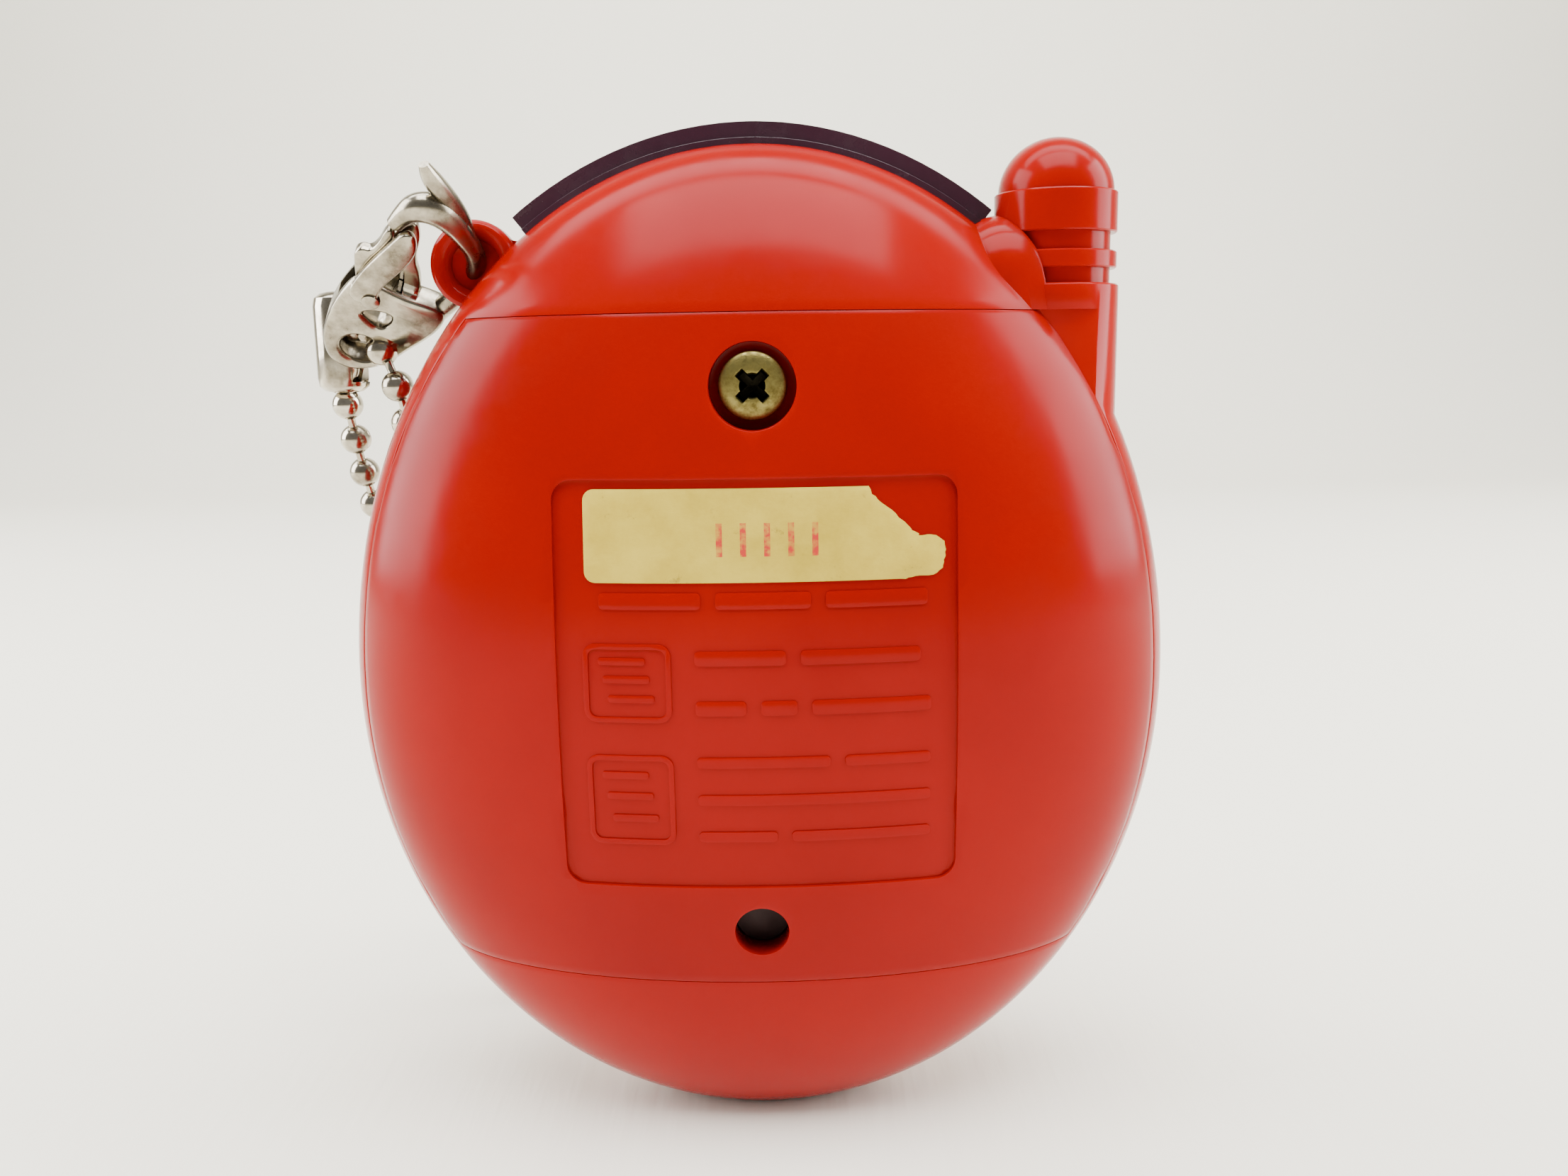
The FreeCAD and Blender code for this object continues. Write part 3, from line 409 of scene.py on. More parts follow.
milky = {"Specular_IOR_Level": 0.085, "Subsurface_Weight": 0.12, "Subsurface_Radius": (1.0, 0.25, 0.1), "Subsurface_Scale": 0.002}
finishes = {
    "shell_plastic": moulded("shellPlastic", (0.27, 0.0015, 0.0), (0.235, 0.0007, 0.0),
                             IOR=1.5, **milky),
    "door_plastic": moulded("doorPlastic", (0.245, 0.001, 0.0), (0.205, 0.0005, 0.0),
                            gloss=(0.17, 0.27), IOR=1.5, **milky),
    "window_plastic": moulded("windowPlastic", (0.030, 0.006, 0.014), (0.020, 0.004, 0.010),
                              gloss=(0.16, 0.34), IOR=1.5),
    "bezel_plastic": moulded("bezelPlastic", (0.62, 0.33, 0.006), (0.55, 0.28, 0.004), IOR=1.5),
    "lens_clear": lensFinish("lensClear", (0.95, 0.97, 0.96)),
    "button_plastic": moulded("buttonPlastic", (0.62, 0.33, 0.006), (0.54, 0.27, 0.004),
                              gloss=(0.2, 0.38), IOR=1.5),
    "silicone": matt("silicone", (0.58, 0.58, 0.55), (0.50, 0.50, 0.48)),
    "reset_rubber": matt("resetRubber", (0.030, 0.006, 0.006), (0.02, 0.004, 0.004)),
    "label_paper": labelFinish("labelPaper"),
    # painted shade: the screw head goes near-black below 8.2 to 8.42 mm along Y, in its cross recess and
    # round its rim
    "screw_brass": paintedShadeInside(plated("screwBrass", (0.23, 0.19, 0.06), (0.11, 0.085, 0.022),
                                     (0.3, 0.6), 1900, depth=0.01), 8.2, 8.42),
    "insert_brass": plated("insertBrass", (0.75, 0.56, 0.24), (0.5, 0.36, 0.14), (0.2, 0.4)),
    "ring_steel": plated("ringSteel", (0.5, 0.5, 0.5), (0.3, 0.3, 0.31), (0.25, 0.45)),
    "screw_steel": plated("screwSteel", (0.58, 0.57, 0.55), (0.36, 0.35, 0.33), (0.22, 0.45)),
    "holder_plastic": matt("holderPlastic", (0.72, 0.72, 0.68), (0.64, 0.64, 0.6)),
    "display_glass": lensFinish("displayGlass", (0.80, 0.86, 0.76)),
    "polariser_film": matt("polariserFilm", (0.30, 0.34, 0.25), (0.27, 0.31, 0.225),
                           roughness=(0.3, 0.42), depth=0.001),
    "reflector_film": matt("reflectorFilm", (0.52, 0.54, 0.48), (0.47, 0.49, 0.43),
                           roughness=(0.35, 0.5)),
    "zebra_rubber": matt("zebraRubber", (0.30, 0.22, 0.22), (0.2, 0.15, 0.15)),
    "board_laminate": boardFinish("boardLaminate"),
    "epoxy_black": matt("epoxyBlack", (0.02, 0.02, 0.02), (0.03, 0.03, 0.03), roughness=(0.3, 0.5)),
    "can_metal": plated("canMetal", (0.7, 0.7, 0.69), (0.5, 0.5, 0.49), (0.15, 0.3)),
    "capacitor_ceramic": matt("capacitorCeramic", (0.34, 0.22, 0.12), (0.28, 0.18, 0.1)),
    "lamp_clear": moulded("lampClear", (0.62, 0.66, 0.72), (0.55, 0.6, 0.66)),
    "lamp_dark": moulded("lampDark", (0.02, 0.012, 0.02), (0.03, 0.018, 0.03)),
    "spring_steel": plated("springSteel", (0.62, 0.60, 0.56), (0.42, 0.40, 0.37), (0.2, 0.4)),
    "cell_steel": plated("cellSteel", (0.72, 0.71, 0.69), (0.55, 0.54, 0.52), (0.16, 0.34), 300,
                         ((0, 0, 0), (1, 1, 0.08))),
    "clasp_nickel": plated("claspNickel", (0.40, 0.36, 0.28), (0.11, 0.09, 0.06), (0.12, 0.34), 420),
    "chain_nickel": plated("chainNickel", (0.52, 0.47, 0.38), (0.20, 0.17, 0.12), (0.09, 0.28), 450),
}
print(f"{len(finishes)} finishes are made")


# ball chain: out of the clasp's eye, down the egg's front side, a loop on the table, up again

chain = {
    "route": [
        (24.2, -4.0, 49.6), (22.6, -3.2, 47.0), (22.4, -4.6, 42.6), (22.3, -7.2, 37.4),
        (21.4, -9.6, 30.0), (19.6, -11.6, 20.8), (17.3, -12.8, 12.4), (14.6, -13.4, 5.6),
        (10.0, -13.6, 1.5), (4.2, -13.4, 1.0), (-0.2, -17.4, 1.0), (-0.2, -23.3, 1.0),
        (4.0, -27.5, 1.0), (10.0, -27.5, 1.2), (15.4, -25.6, 2.6), (19.4, -22.4, 7.0),
        (22.6, -18.6, 14.8), (24.9, -14.6, 25.4), (26.4, -10.6, 36.0), (27.1, -8.0, 42.3),
        (27.2, -6.9, 45.9)],
    "ball": 1.0, "pitch": 2.44, "link": 0.27, "bead": 0.52}


def chainLine():
    curve = bpy.data.curves.new("chainLine", "CURVE")
    curve.dimensions = "3D"
    curve.resolution_u = 24
    spline = curve.splines.new("NURBS")
    spline.points.add(len(chain["route"]) - 1)
    for point, at in zip(spline.points, chain["route"]):
        point.co = (*[c * mm for c in at], 1)
    spline.order_u = 3
    spline.use_endpoint_u = True
    line = bpy.data.objects.new("chainLine", curve)
    bpy.context.scene.collection.objects.link(line)
    mesh = bpy.data.meshes.new_from_object(line)
    points = [v.co.copy() for v in mesh.vertices]
    bpy.data.objects.remove(line, do_unlink=True)
    return points


def stations(points, first, step):
    # places and directions along a line, one every step
    found, travelled, wanted = [], 0.0, first
    for before, after in zip(points, points[1:]):
        run = (after - before).length
        while run > 0 and travelled + run >= wanted:
            found.append((before.lerp(after, (wanted - travelled) / run), (after - before).normalized()))
            wanted += step
        travelled += run
    return found, travelled


def chainBall():
    # a hollow ball rolled from sheet: a hole at each end with a turned-in lip, a seam on one side
    radius, hole = chain["ball"], 0.36
    first = math.asin(hole / radius)
    count = 13
    steps = [(hole * 0.72, -radius * 0.86), (hole * 0.96, -radius * math.cos(first) * 0.985)]
    for n in range(count):
        turn = first + (math.pi - 2 * first) * n / (count - 1)
        steps.append((radius * math.sin(turn), -radius * math.cos(turn)))
    steps += [(hole * 0.96, radius * math.cos(first) * 0.985), (hole * 0.72, radius * 0.86)]
    ball = lathe("chainBall", steps, segments=20)
    pick(ball, "faces", lambda face: face.calc_center_median().x > 0.8 * radius * mm
         and abs(face.calc_center_median().y) < 0.2 * radius * mm)
    bpy.ops.mesh.inset(thickness=0.03 * mm, depth=-0.03 * mm)
    leaveEdit()
    return ball


def chainLink(length):
    # a short pin with a bead on each end, the beads caught inside the balls
    pin, bead = chain["link"], chain["bead"]
    half = length / 2
    steps = [(0.1, -half), (bead * 0.8, -half + 0.1), (bead, -half + 0.3), (bead * 0.7, -half + 0.52),
             (pin, -half + 0.66), (pin, half - 0.66), (bead * 0.7, half - 0.52), (bead, half - 0.3),
             (bead * 0.8, half - 0.1), (0.1, half)]
    return lathe("chainLink", steps, segments=10)


def copyAt(piece, at, along, spin=0.0):
    copy = piece.copy()
    copy.data = piece.data.copy()
    bpy.context.scene.collection.objects.link(copy)
    copy.location = at
    turn = along.to_track_quat("Z", "Y").to_matrix() @ Matrix.Rotation(spin, 3, "Z")
    copy.rotation_euler = turn.to_euler()
    return settle(copy)


def addChain():
    points = chainLine()
    random.seed(4)
    ball = chainBall()
    link = chainLink(chain["pitch"] - 0.2)
    balls, length = stations(points, 1.2 * mm, chain["pitch"] * mm)
    links, length = stations(points, (1.2 + chain["pitch"] / 2) * mm, chain["pitch"] * mm)
    made = [copyAt(ball, at, along, random.uniform(0, 6.28)) for at, along in balls]
    made += [copyAt(link, at, along) for at, along in links]
    bpy.data.objects.remove(ball, do_unlink=True)
    bpy.data.objects.remove(link, do_unlink=True)
    piece = joined("ballChain", made)
    dress(piece, "clasp", "chain_nickel", ["ball_chain"], 50)
    print(f"chain of {len(balls)} balls, {length / mm:.1f} mm")
    return piece, points, length


chainPiece, chainPoints, chainLength = addChain()


connector = {"x": 27.2, "y": -6.9, "low": 45.9, "high": 52.4, "radius": 1.65, "wall": 0.3}


def capsuleSteps(radius, low, high, neck):
    # a barrel with drawn-in ends
    steps = [(neck, low), (radius * 0.72, low + 0.12), (radius * 0.94, low + 0.42),
             (radius, low + 0.95)]
    return steps + [(size, low + high - height) for size, height in reversed(steps)]


def addConnector():
    at = (connector["x"], connector["y"], 0)
    low, high, radius = connector["low"], connector["high"], connector["radius"]
    wall = connector["wall"]
    piece = lathe("chainConnector", capsuleSteps(radius, low, high, 0.7), at=at, segments=48)
    carve(piece, lathe("barrelBore", capsuleSteps(radius - wall, low + wall, high - wall, 0.5),
                       at=at, segments=48))
    x, y = connector["x"], connector["y"]
    carve(piece, lathe("endHoles", [(0.5, low - 1), (0.5, high + 1)], at=at, segments=24))
    carve(piece, block("openSide", (x - 3, x), (y - 0.42, y + 0.42), (low - 1, high + 1)))
    carve(piece, block("lowMouth", (x - 3, x - 0.3), (y - 1.0, y + 1.3), (low + 0.7, low + 2.7)))
    carve(piece, block("highMouth", (x - 3, x - 0.5), (y - 1.0, y + 1.0), (high - 2.5, high - 0.9)))
    roundEdges(piece, 0.06)
    dress(piece, "clasp", "chain_nickel", ["chain_connector"])
    ball = chainBall()
    seat = Vector((x, y, low + 1.6)) * mm
    last = copyAt(ball, seat, Vector((0, 0, 1)))
    bpy.data.objects.remove(ball, do_unlink=True)
    link = chainLink(chain["pitch"] - 0.2)
    lastLink = copyAt(link, seat - Vector((0, 0, 1.25 * mm)), Vector((0, 0.1, 1)))
    bpy.data.objects.remove(link, do_unlink=True)
    caught = dress(joined("chainCaughtBall", [last, lastLink]), "clasp", "chain_nickel", [], 50)
    return piece, caught


connectorPiece, caughtPiece = addConnector()


def addEndBalls():
    # two balls and their links, from the clasp's eye to the connector's upper seat
    eye, seat = Vector((24.7, -3.96, 49.61)), Vector((27.2, -6.9, 50.9))
    run = (seat - eye).normalized()
    ball = chainBall()
    link = chainLink(chain["pitch"] - 0.2)
    made = [copyAt(ball, (seat - run * distance) * mm, run) for distance in (0, chain["pitch"])]
    made += [copyAt(link, (seat - run * distance) * mm, run)
             for distance in (chain["pitch"] / 2, chain["pitch"] * 1.4)]
    bpy.data.objects.remove(ball, do_unlink=True)
    bpy.data.objects.remove(link, do_unlink=True)
    return dress(joined("chainEndBalls", made), "clasp", "chain_nickel", ["chain_end_balls"], 50)


endBalls = addEndBalls()
print("chain, its connector and its end balls are made")


# the egg's form, which every shell and skin is cut from

egg = {"halfWidth": 25, "halfDepth": 11, "widest": 28.4, "topRise": 31.7, "bottomDrop": 28.9,
       "wall": 1.6, "trayFloor": 1.72, "segments": 160, "rings": 80}


def addEgg(name, inset):
    piece = addPrimitive("uv_sphere", name, segments=egg["segments"], ring_count=egg["rings"],
                         radius=1)
    piece.scale = [(egg[side] - inset) * mm for side in ("halfWidth", "halfDepth", "topRise")]
    settle(piece)
    pick(piece, "verts", lambda vert: vert.co.z < -1e-6)
    drop = (egg["bottomDrop"] - inset) / (egg["topRise"] - inset)
    bpy.ops.transform.resize(value=(1, 1, drop), center_override=(0, 0, 0))
    leaveEdit()
    piece.location = (0, 0, egg["widest"] * mm)
    return settle(piece)


def addSkin(name, outer, inner):
    # the layer between two depths
    inside = addEgg(name + "Inside", inner)
    editAll(inside)
    bpy.ops.mesh.flip_normals()
    leaveEdit()
    return joined(name, [addEgg(name, outer), inside])


# battery door

door = {"low": 11.84, "high": 50.16, "edge": 3.3, "wall": 1.6, "screwHeight": 46.2, "seat": 7.3,
        "counterbore": 2.4, "boss": 3.3, "resetHeight": 15.3, "resetHole": 1.55,
        "panelLow": 18.2, "panelHigh": 41.3, "panelWidth": 22.2, "panelCorner": 1.1,
        "panelDepth": 0.22, "edgeRound": 0.12}
# left end, right end, foot and height of each raised bar, from the panel's lower edge
reliefRows = [(16.1, 0.9, [(8.6, 3.0), (2.2, -3.0), (-3.8, -9.4)]),
              (13.0, 0.8, [(3.4, -1.6), (-2.4, -9.0)]),
              (10.2, 0.8, [(3.4, 0.6), (-0.2, -2.2), (-3.0, -9.6)]),
              (7.2, 0.6, [(3.4, -4.0), (-4.8, -9.6)]),
              (5.0, 0.6, [(3.4, -9.6)]),
              (2.8, 0.6, [(3.4, -1.0), (-1.8, -9.6)])]
reliefFrames = [(2.6, 5.3), (9.8, 4.4)]


def addRelief():
    # plain bars and frames where such a door carries its moulded markings
    foot = door["panelLow"]
    deep = (6, 13)
    marks = []
    for low, tall, bars in reliefRows:
        for left, right in bars:
            marks.append(roundedColumn("bar", left - right, tall, 0.24, deep, (left + right) / 2,
                                       foot + low + tall / 2))
    for low, tall in reliefFrames:
        ring = roundedColumn("frame", 4.9, tall, 0.7, deep, 7.15, foot + low + tall / 2)
        carve(ring, roundedColumn("frameHole", 4.3, tall - 0.6, 0.45, (5, 14), 7.15,
                                  foot + low + tall / 2))
        marks.append(ring)
        for share in (0.3, 0.55, 0.78):
            marks.append(roundedColumn("frameBar", 2.6, 0.4, 0.15, deep, 7.15 + share - 0.5,
                                       foot + low + tall * share))
    relief = joined("relief", marks)
    skin = addSkin("reliefSkin", 0.14, 0.6)
    sliceAway(skin, (0, 4, 0), (0, -1, 0), True)
    return carve(relief, skin, "INTERSECT")


def addDoor():
    piece = addEgg("batteryDoor", 0)
    sliceAway(piece, (0, 0, door["high"]), (0, 0, 1))
    sliceAway(piece, (0, 0, door["low"]), (0, 0, -1))
    sliceAway(piece, (0, door["edge"], 0), (0, -1, 0))
    applyModifier(piece, "SOLIDIFY", thickness=door["wall"] * mm, offset=-1, use_even_offset=True)
    screwHeight, seat = door["screwHeight"], door["seat"]
    boss = rod("doorBoss", door["boss"], seat - 1.2, 12, z=screwHeight)
    carve(boss, addEgg("bossCap", 0.6), "INTERSECT")
    carve(piece, boss, "UNION")
    carve(piece, rod("doorSink", door["counterbore"], seat, 14, z=screwHeight, segments=96))
    carve(piece, rod("doorShank", 1.15, 0, 9, z=screwHeight))
    carve(piece, rod("doorReset", door["resetHole"], 0, 14, z=door["resetHeight"], segments=96))
    middle = (door["panelLow"] + door["panelHigh"]) / 2
    recess = roundedColumn("recess", door["panelWidth"], door["panelHigh"] - door["panelLow"],
                           door["panelCorner"], (5, 13), z=middle)
    carve(recess, addEgg("recessFloor", door["panelDepth"]))
    carve(piece, recess)
    roundEdges(piece, door["edgeRound"])
    relief = addRelief()
    roundEdges(relief, 0.05)
    dress(piece, "door", "door_plastic", ["battery_door"])
    dress(relief, "door", "door_plastic")
    relief.name = "doorRelief"


addDoor()
print("battery door is made")


# the two shells, with the key lug and the antenna's collar

lug = {"x": 16.5, "z": 53.4, "radius": 2.6, "half": 0.8, "hole": 1.45, "flare": 0.78}
collar = {"x": -18, "radius": 3.75, "low": 41, "high": 51.7}
web = {"top": (-14.9, 52.0), "foot": (-18.0, 44.5), "topRadius": 3.85, "footRadius": 3.6}
window = {"reach": 13.4, "back": 0.9, "front": 3.6, "rise": 1.25, "lip": 0.35}
bolts = [(side * 15.0, height) for side in (-1, 1) for height in (43.6, 18.5)]


def addShoulder(shell):
    # the lug and the collar grow out of the egg
    half, radius = lug["half"], lug["radius"]
    carve(shell, lathe("lugDisc", [(radius - 0.25, -half), (radius, -half + 0.25),
                                   (radius, half - 0.25), (radius - 0.25, half)],
                       alongY, (lug["x"], 0, lug["z"])), "UNION")
    carve(shell, lathe("collarRod", [(collar["radius"], collar["low"]),
                                     (collar["radius"], collar["high"] - 0.1),
                                     (collar["radius"] - 0.1, collar["high"])],
                       at=(collar["x"], 0, 0)), "UNION")
    carve(shell, addWeb(), "UNION")


def addWeb():
    # the leaning, round-topped flare that joins the antenna to the egg
    topX, topZ = web["top"]
    footX, footZ = web["foot"]
    length = math.hypot(topX - footX, topZ - footZ)
    steps = [(web["footRadius"], 0), (web["topRadius"], length)]
    for n in range(1, 16):
        turn = math.pi / 2 * n / 16
        steps.append((web["topRadius"] * math.cos(turn),
                      length + web["topRadius"] * math.sin(turn)))
    lean = (0, math.atan2(topX - footX, topZ - footZ), 0)
    return lathe("antennaWeb", steps, lean, (footX, 0, footZ), 80)


def cutShoulder(shell):
    half, hole, flare = lug["half"], lug["hole"], lug["flare"]
    steps = [(hole + flare + 0.3, -half - 0.15)]
    for n in range(12):
        turn = math.pi * (n + 0.5) / 12
        steps.append((hole + flare * (1 - math.sin(turn)), -half * math.cos(turn)))
    steps.append((hole + flare + 0.3, half + 0.15))
    carve(shell, lathe("keyHole", steps, alongY, (lug["x"], 0, lug["z"])))
    carve(shell, lathe("antennaSeat", [(2.25, 45), (2.25, collar["high"]),
                                       (3.64, collar["high"]), (3.64, 66)],
                       at=(collar["x"], 0, 0)))
    slot = addSkin("slotSkin", -3, 3.2)
    reach = window["reach"] + 0.05
    carve(slot, block("slotBlock", (-reach, reach), (-window["front"] - 0.05, window["back"] + 0.05),
                      (50, 70)), "INTERSECT")
    carve(shell, slot)


def addBackShell():
    piece = addEgg("backShell", 0)
    addShoulder(piece)
    carve(piece, addEgg("backInside", egg["trayFloor"] + 1.3))
    space = block("doorSpace", (-40, 40), (3.24, 40), (11.8, 50.2))
    carve(space, addEgg("trayFloor", egg["trayFloor"]))
    carve(piece, space)
    cup = lathe("cellCup", [(11.3, 3.9), (11.3, 9.1)], alongY, (0, 0, 29.5))
    carve(cup, lathe("cellBay", [(10.3, 4.9), (10.3, 15)], alongY, (0, 0, 29.5)))
    carve(piece, rod("cupSpace", 11.2, 4.4, 15, z=29.5))
    carve(piece, cup, "UNION")
    carve(piece, rod("bossSpace", 3.45, 5.95, 14, z=door["screwHeight"]))
    carve(piece, rod("insertBore", 1.8, 2.8, 14, z=door["screwHeight"]))
    carve(piece, rod("resetBore", 1.75, 2.0, 14, z=door["resetHeight"]))
    for x, z in bolts:
        carve(piece, rod("boltSpace", 1.65, 3.2, 14, x, z))
    cutShoulder(piece)
    sliceAway(piece, (0, 0, 0), (0, -1, 0), True)
    sliceAway(piece, (0, 0, 0), (0, 0, -1), True)
    roundEdges(piece, 0.08)
    dress(piece, "case", "shell_plastic", ["back_shell"])


def addFrontShell():
    piece = addEgg("frontShell", 0)
    addShoulder(piece)
    carve(piece, addEgg("frontInside", egg["wall"]))
    step = roundedColumn("bezelSeat", face["width"] + 2 * face["band"],
                         face["tall"] + 2 * face["band"], face["corner"] + face["band"],
                         (-14, -3), z=face["z"])
    carve(step, addEgg("seatFloor", 0.9))
    carve(piece, step)
    carve(piece, roundedColumn("lensOpening", face["width"] - 2, face["tall"] - 2,
                               face["corner"] - 1, (-14, -3), z=face["z"]))
    for x, z in buttonPlaces:
        carve(piece, rod("buttonHole", buttons["radius"] + 0.1, -13, -3, x, z))
    cutShoulder(piece)
    sliceAway(piece, (0, -0.02, 0), (0, 1, 0), True)
    sliceAway(piece, (0, 0, 0), (0, 0, -1), True)
    roundEdges(piece, 0.08)
    dress(piece, "case", "shell_plastic", ["front_shell"])


face = {"z": 34, "width": 25, "tall": 22, "corner": 8, "band": 2.6, "rise": 0.8, "lensRise": 0.35}
buttons = {"z": 13.6, "drop": 1.5, "spread": 8.6, "radius": 2.3, "foot": -3.0}
buttonPlaces = [(side * buttons["spread"], buttons["z"] - (1 - abs(side)) * buttons["drop"])
                for side in (-1, 0, 1)]

addBackShell()
print("back shell is made")
addFrontShell()
print("front shell is made")


# infrared window: a dark band over the top, with a lip along its back edge

def addWindow():
    piece = addSkin("irWindow", -window["rise"] + 0.02, 1.5)
    bar = block("windowBlock", (-16, 16), (-window["front"], window["back"]), (50, 70))
    carve(piece, bar, "INTERSECT")
    across = window["reach"] / egg["halfWidth"]
    height = egg["widest"] + egg["topRise"] * math.sqrt(1 - across ** 2)
    slope = Vector((1, 0, -egg["topRise"] / egg["halfWidth"] * across / math.sqrt(1 - across ** 2)))
    slope.normalize()
    for side in (-1, 1):
        sliceAway(piece, (side * window["reach"], 0, height), (side * slope.x, 0, slope.z), True)
    step = addSkin("windowStep", -2.5, -window["lip"])
    carve(step, block("stepBlock", (-17, 17), (window["back"] - 0.42, 3), (50, 70)), "INTERSECT")
    carve(piece, step)
    roundEdges(piece, 0.16, 3, 40)
    dress(piece, "case", "window_plastic", ["ir_window"], 32)


addWindow()
print("window is made")


antenna = {"x": -18, "top": 51.7, "thick": 3.6, "groove": 0.38, "root": 2.2, "dome": 3.2,
           "rings": [(0.9, 1.9), (2.95, 5.3)]}


def addAntenna():
    top, thick, groove = antenna["top"], antenna["thick"], antenna["groove"]
    soft = 0.08
    steps = [(antenna["root"], top - 6), (antenna["root"], top), (thick - groove, top),
             (thick - groove, top + antenna["rings"][0][0])]
    nextLow = antenna["rings"][1][0]
    crown = antenna["rings"][1][1]
    for low, high in antenna["rings"]:
        steps += [(thick - soft, top + low), (thick, top + low + soft),
                  (thick, top + high - soft), (thick - soft, top + high)]
        if low < nextLow:
            steps += [(thick - groove, top + high), (thick - groove, top + nextLow)]
    rounds = 20
    base = thick - 0.22
    for n in range(rounds):
        turn = math.pi / 2 * n / rounds
        steps.append((base * math.cos(turn), top + crown + antenna["dome"] * math.sin(turn)))
    steps.append((base * 0.02, top + crown + antenna["dome"]))
    piece = lathe("antennaStub", steps, at=(antenna["x"], 0, 0), segments=128)
    dress(piece, "case", "shell_plastic", ["antenna_stub"], 30)


addAntenna()


# captive screw with its cross recess

screw = {"z": 46.2, "seat": 7.33, "head": 1.87, "tall": 1.0, "crown": 0.35, "shank": 1.0}


def addScrew():
    seat, head = screw["seat"], screw["head"]
    edge = seat + screw["tall"]
    steps = [(screw["shank"] * 0.8, 3.0), (screw["shank"], 3.3)]
    for n in range(9):
        low = 3.4 + 0.4 * n
        steps += [(screw["shank"], low), (screw["shank"] * 0.84, low + 0.2)]
    steps += [(screw["shank"], seat), (head - 0.08, seat), (head, seat + 0.08)]
    for n in range(9):
        turn = math.pi / 2 * n / 9
        steps.append((head * math.cos(turn), edge + screw["crown"] * math.sin(turn)))
    piece = lathe("doorScrew", steps, alongY, (0, 0, screw["z"]), 72)
    for turn in (45, -45):
        blade = block("blade", (-1.2, 1.2), (seat + 0.25, seat + 2), (-0.34, 0.34))
        pick(blade, "verts", lambda vert: vert.co.y < (seat + 1) * mm)
        bpy.ops.transform.resize(value=(0.72, 1, 0.6), center_override=(0, 0, 0))
        leaveEdit()
        blade.rotation_euler = (0, math.radians(turn), 0)
        blade.location = (0, 0, screw["z"] * mm)
        carve(piece, settle(blade))
    well = lathe("well", [(0.1, seat + 0.15), (0.55, seat + 0.45), (0.86, seat + 2)], alongY,
                 (0, 0, screw["z"]), 24)
    carve(piece, well)
    roundEdges(piece, 0.05)
    dress(piece, "screw", "screw_brass", ["door_screw"])


addScrew()
print("antenna and screw are made")


# number label, with its corner torn off

label = {"left": 9.35, "low": 35.75, "high": 40.8, "corner": 0.6,
         "depth": 0.12, "thick": 0.12}


def labelOutline():
    left, low, high = label["left"], label["low"], label["high"]
    corner = label["corner"]
    points = []
    for x, z, first in ((left - corner, low + corner, -90), (left - corner, high - corner, 0)):
        for n in range(7):
            turn = math.radians(first + 15 * n)
            points.append((x + corner * math.cos(turn), z + corner * math.sin(turn)))
    random.seed(11)
    torn = [(-6.2, 0), (-6.7, -0.75), (-7.7, -1.5), (-8.45, -2.3), (-9.0, -2.66), (-9.85, -2.72),
            (-10.3, -3.05), (-10.4, -3.9), (-10.25, -4.55), (-9.8, -4.82), (-8.7, -4.9), (-7.9, -5.03)]
    for (x, drop), (nextX, nextDrop) in zip(torn, torn[1:]):
        for share in (0, 0.25, 0.5, 0.75):
            ragged = random.uniform(-0.09, 0.09)
            points.append((x + (nextX - x) * share + ragged,
                           high + drop + (nextDrop - drop) * share - abs(ragged)))
    points.append((torn[-1][0], low))
    return points


def addLabel():
    outline = labelOutline()
    mesh = bpy.data.meshes.new("numberLabel")
    mesh.from_pydata([(x * mm, 6 * mm, z * mm) for x, z in outline], [], [range(len(outline))])
    piece = bpy.data.objects.new("numberLabel", mesh)
    bpy.context.scene.collection.objects.link(piece)
    editAll(piece)
    bpy.ops.mesh.extrude_region_move(TRANSFORM_OT_translate={"value": (0, 8 * mm, 0)})
    bpy.ops.mesh.select_all(action="SELECT")
    bpy.ops.mesh.normals_make_consistent(inside=False)
    leaveEdit()
    skin = addSkin("labelSkin", label["depth"], label["depth"] + label["thick"])
    sliceAway(skin, (0, 4, 0), (0, -1, 0), True)
    carve(piece, skin, "INTERSECT")
    roundEdges(piece, 0.03)
    dress(piece, "door", "label_paper", ["number_label"])


addLabel()
print("label is made")


# front face: bezel, lens and buttons

def addFace():
    wide, tall, corner = face["width"], face["tall"], face["corner"]
    band = face["band"] - 0.1
    ring = roundedColumn("bezelColumn", wide + 2 * band, tall + 2 * band, corner + band, (-14, -3),
                         z=face["z"])
    carve(ring, roundedColumn("bezelHole", wide, tall, corner, (-15, -2), z=face["z"]))
    skin = addSkin("bezelSkin", -face["rise"] + 0.02, 0.85)
    sliceAway(skin, (0, -3, 0), (0, 1, 0), True)
    carve(ring, skin, "INTERSECT")
    ring.name = "screenBezel"
    roundEdges(ring, 0.28, 3)
    dress(ring, "case", "bezel_plastic", ["screen_bezel"])
    lens = roundedColumn("screenLens", wide - 0.2, tall - 0.2, corner - 0.1, (-14, -3), z=face["z"])
    skin = addSkin("lensSkin", -face["lensRise"] + 0.02, 0.85)
    sliceAway(skin, (0, -3, 0), (0, 1, 0), True)
    carve(lens, skin, "INTERSECT")
    roundEdges(lens, 0.12, 2)
    dress(lens, "case", "lens_clear", ["screen_lens"])


def surfaceDepth(x, z):
    rise = egg["topRise"] if z > egg["widest"] else egg["bottomDrop"]
    left = 1 - (x / egg["halfWidth"]) ** 2 - ((z - egg["widest"]) / rise) ** 2
    return egg["halfDepth"] * math.sqrt(max(left, 0))


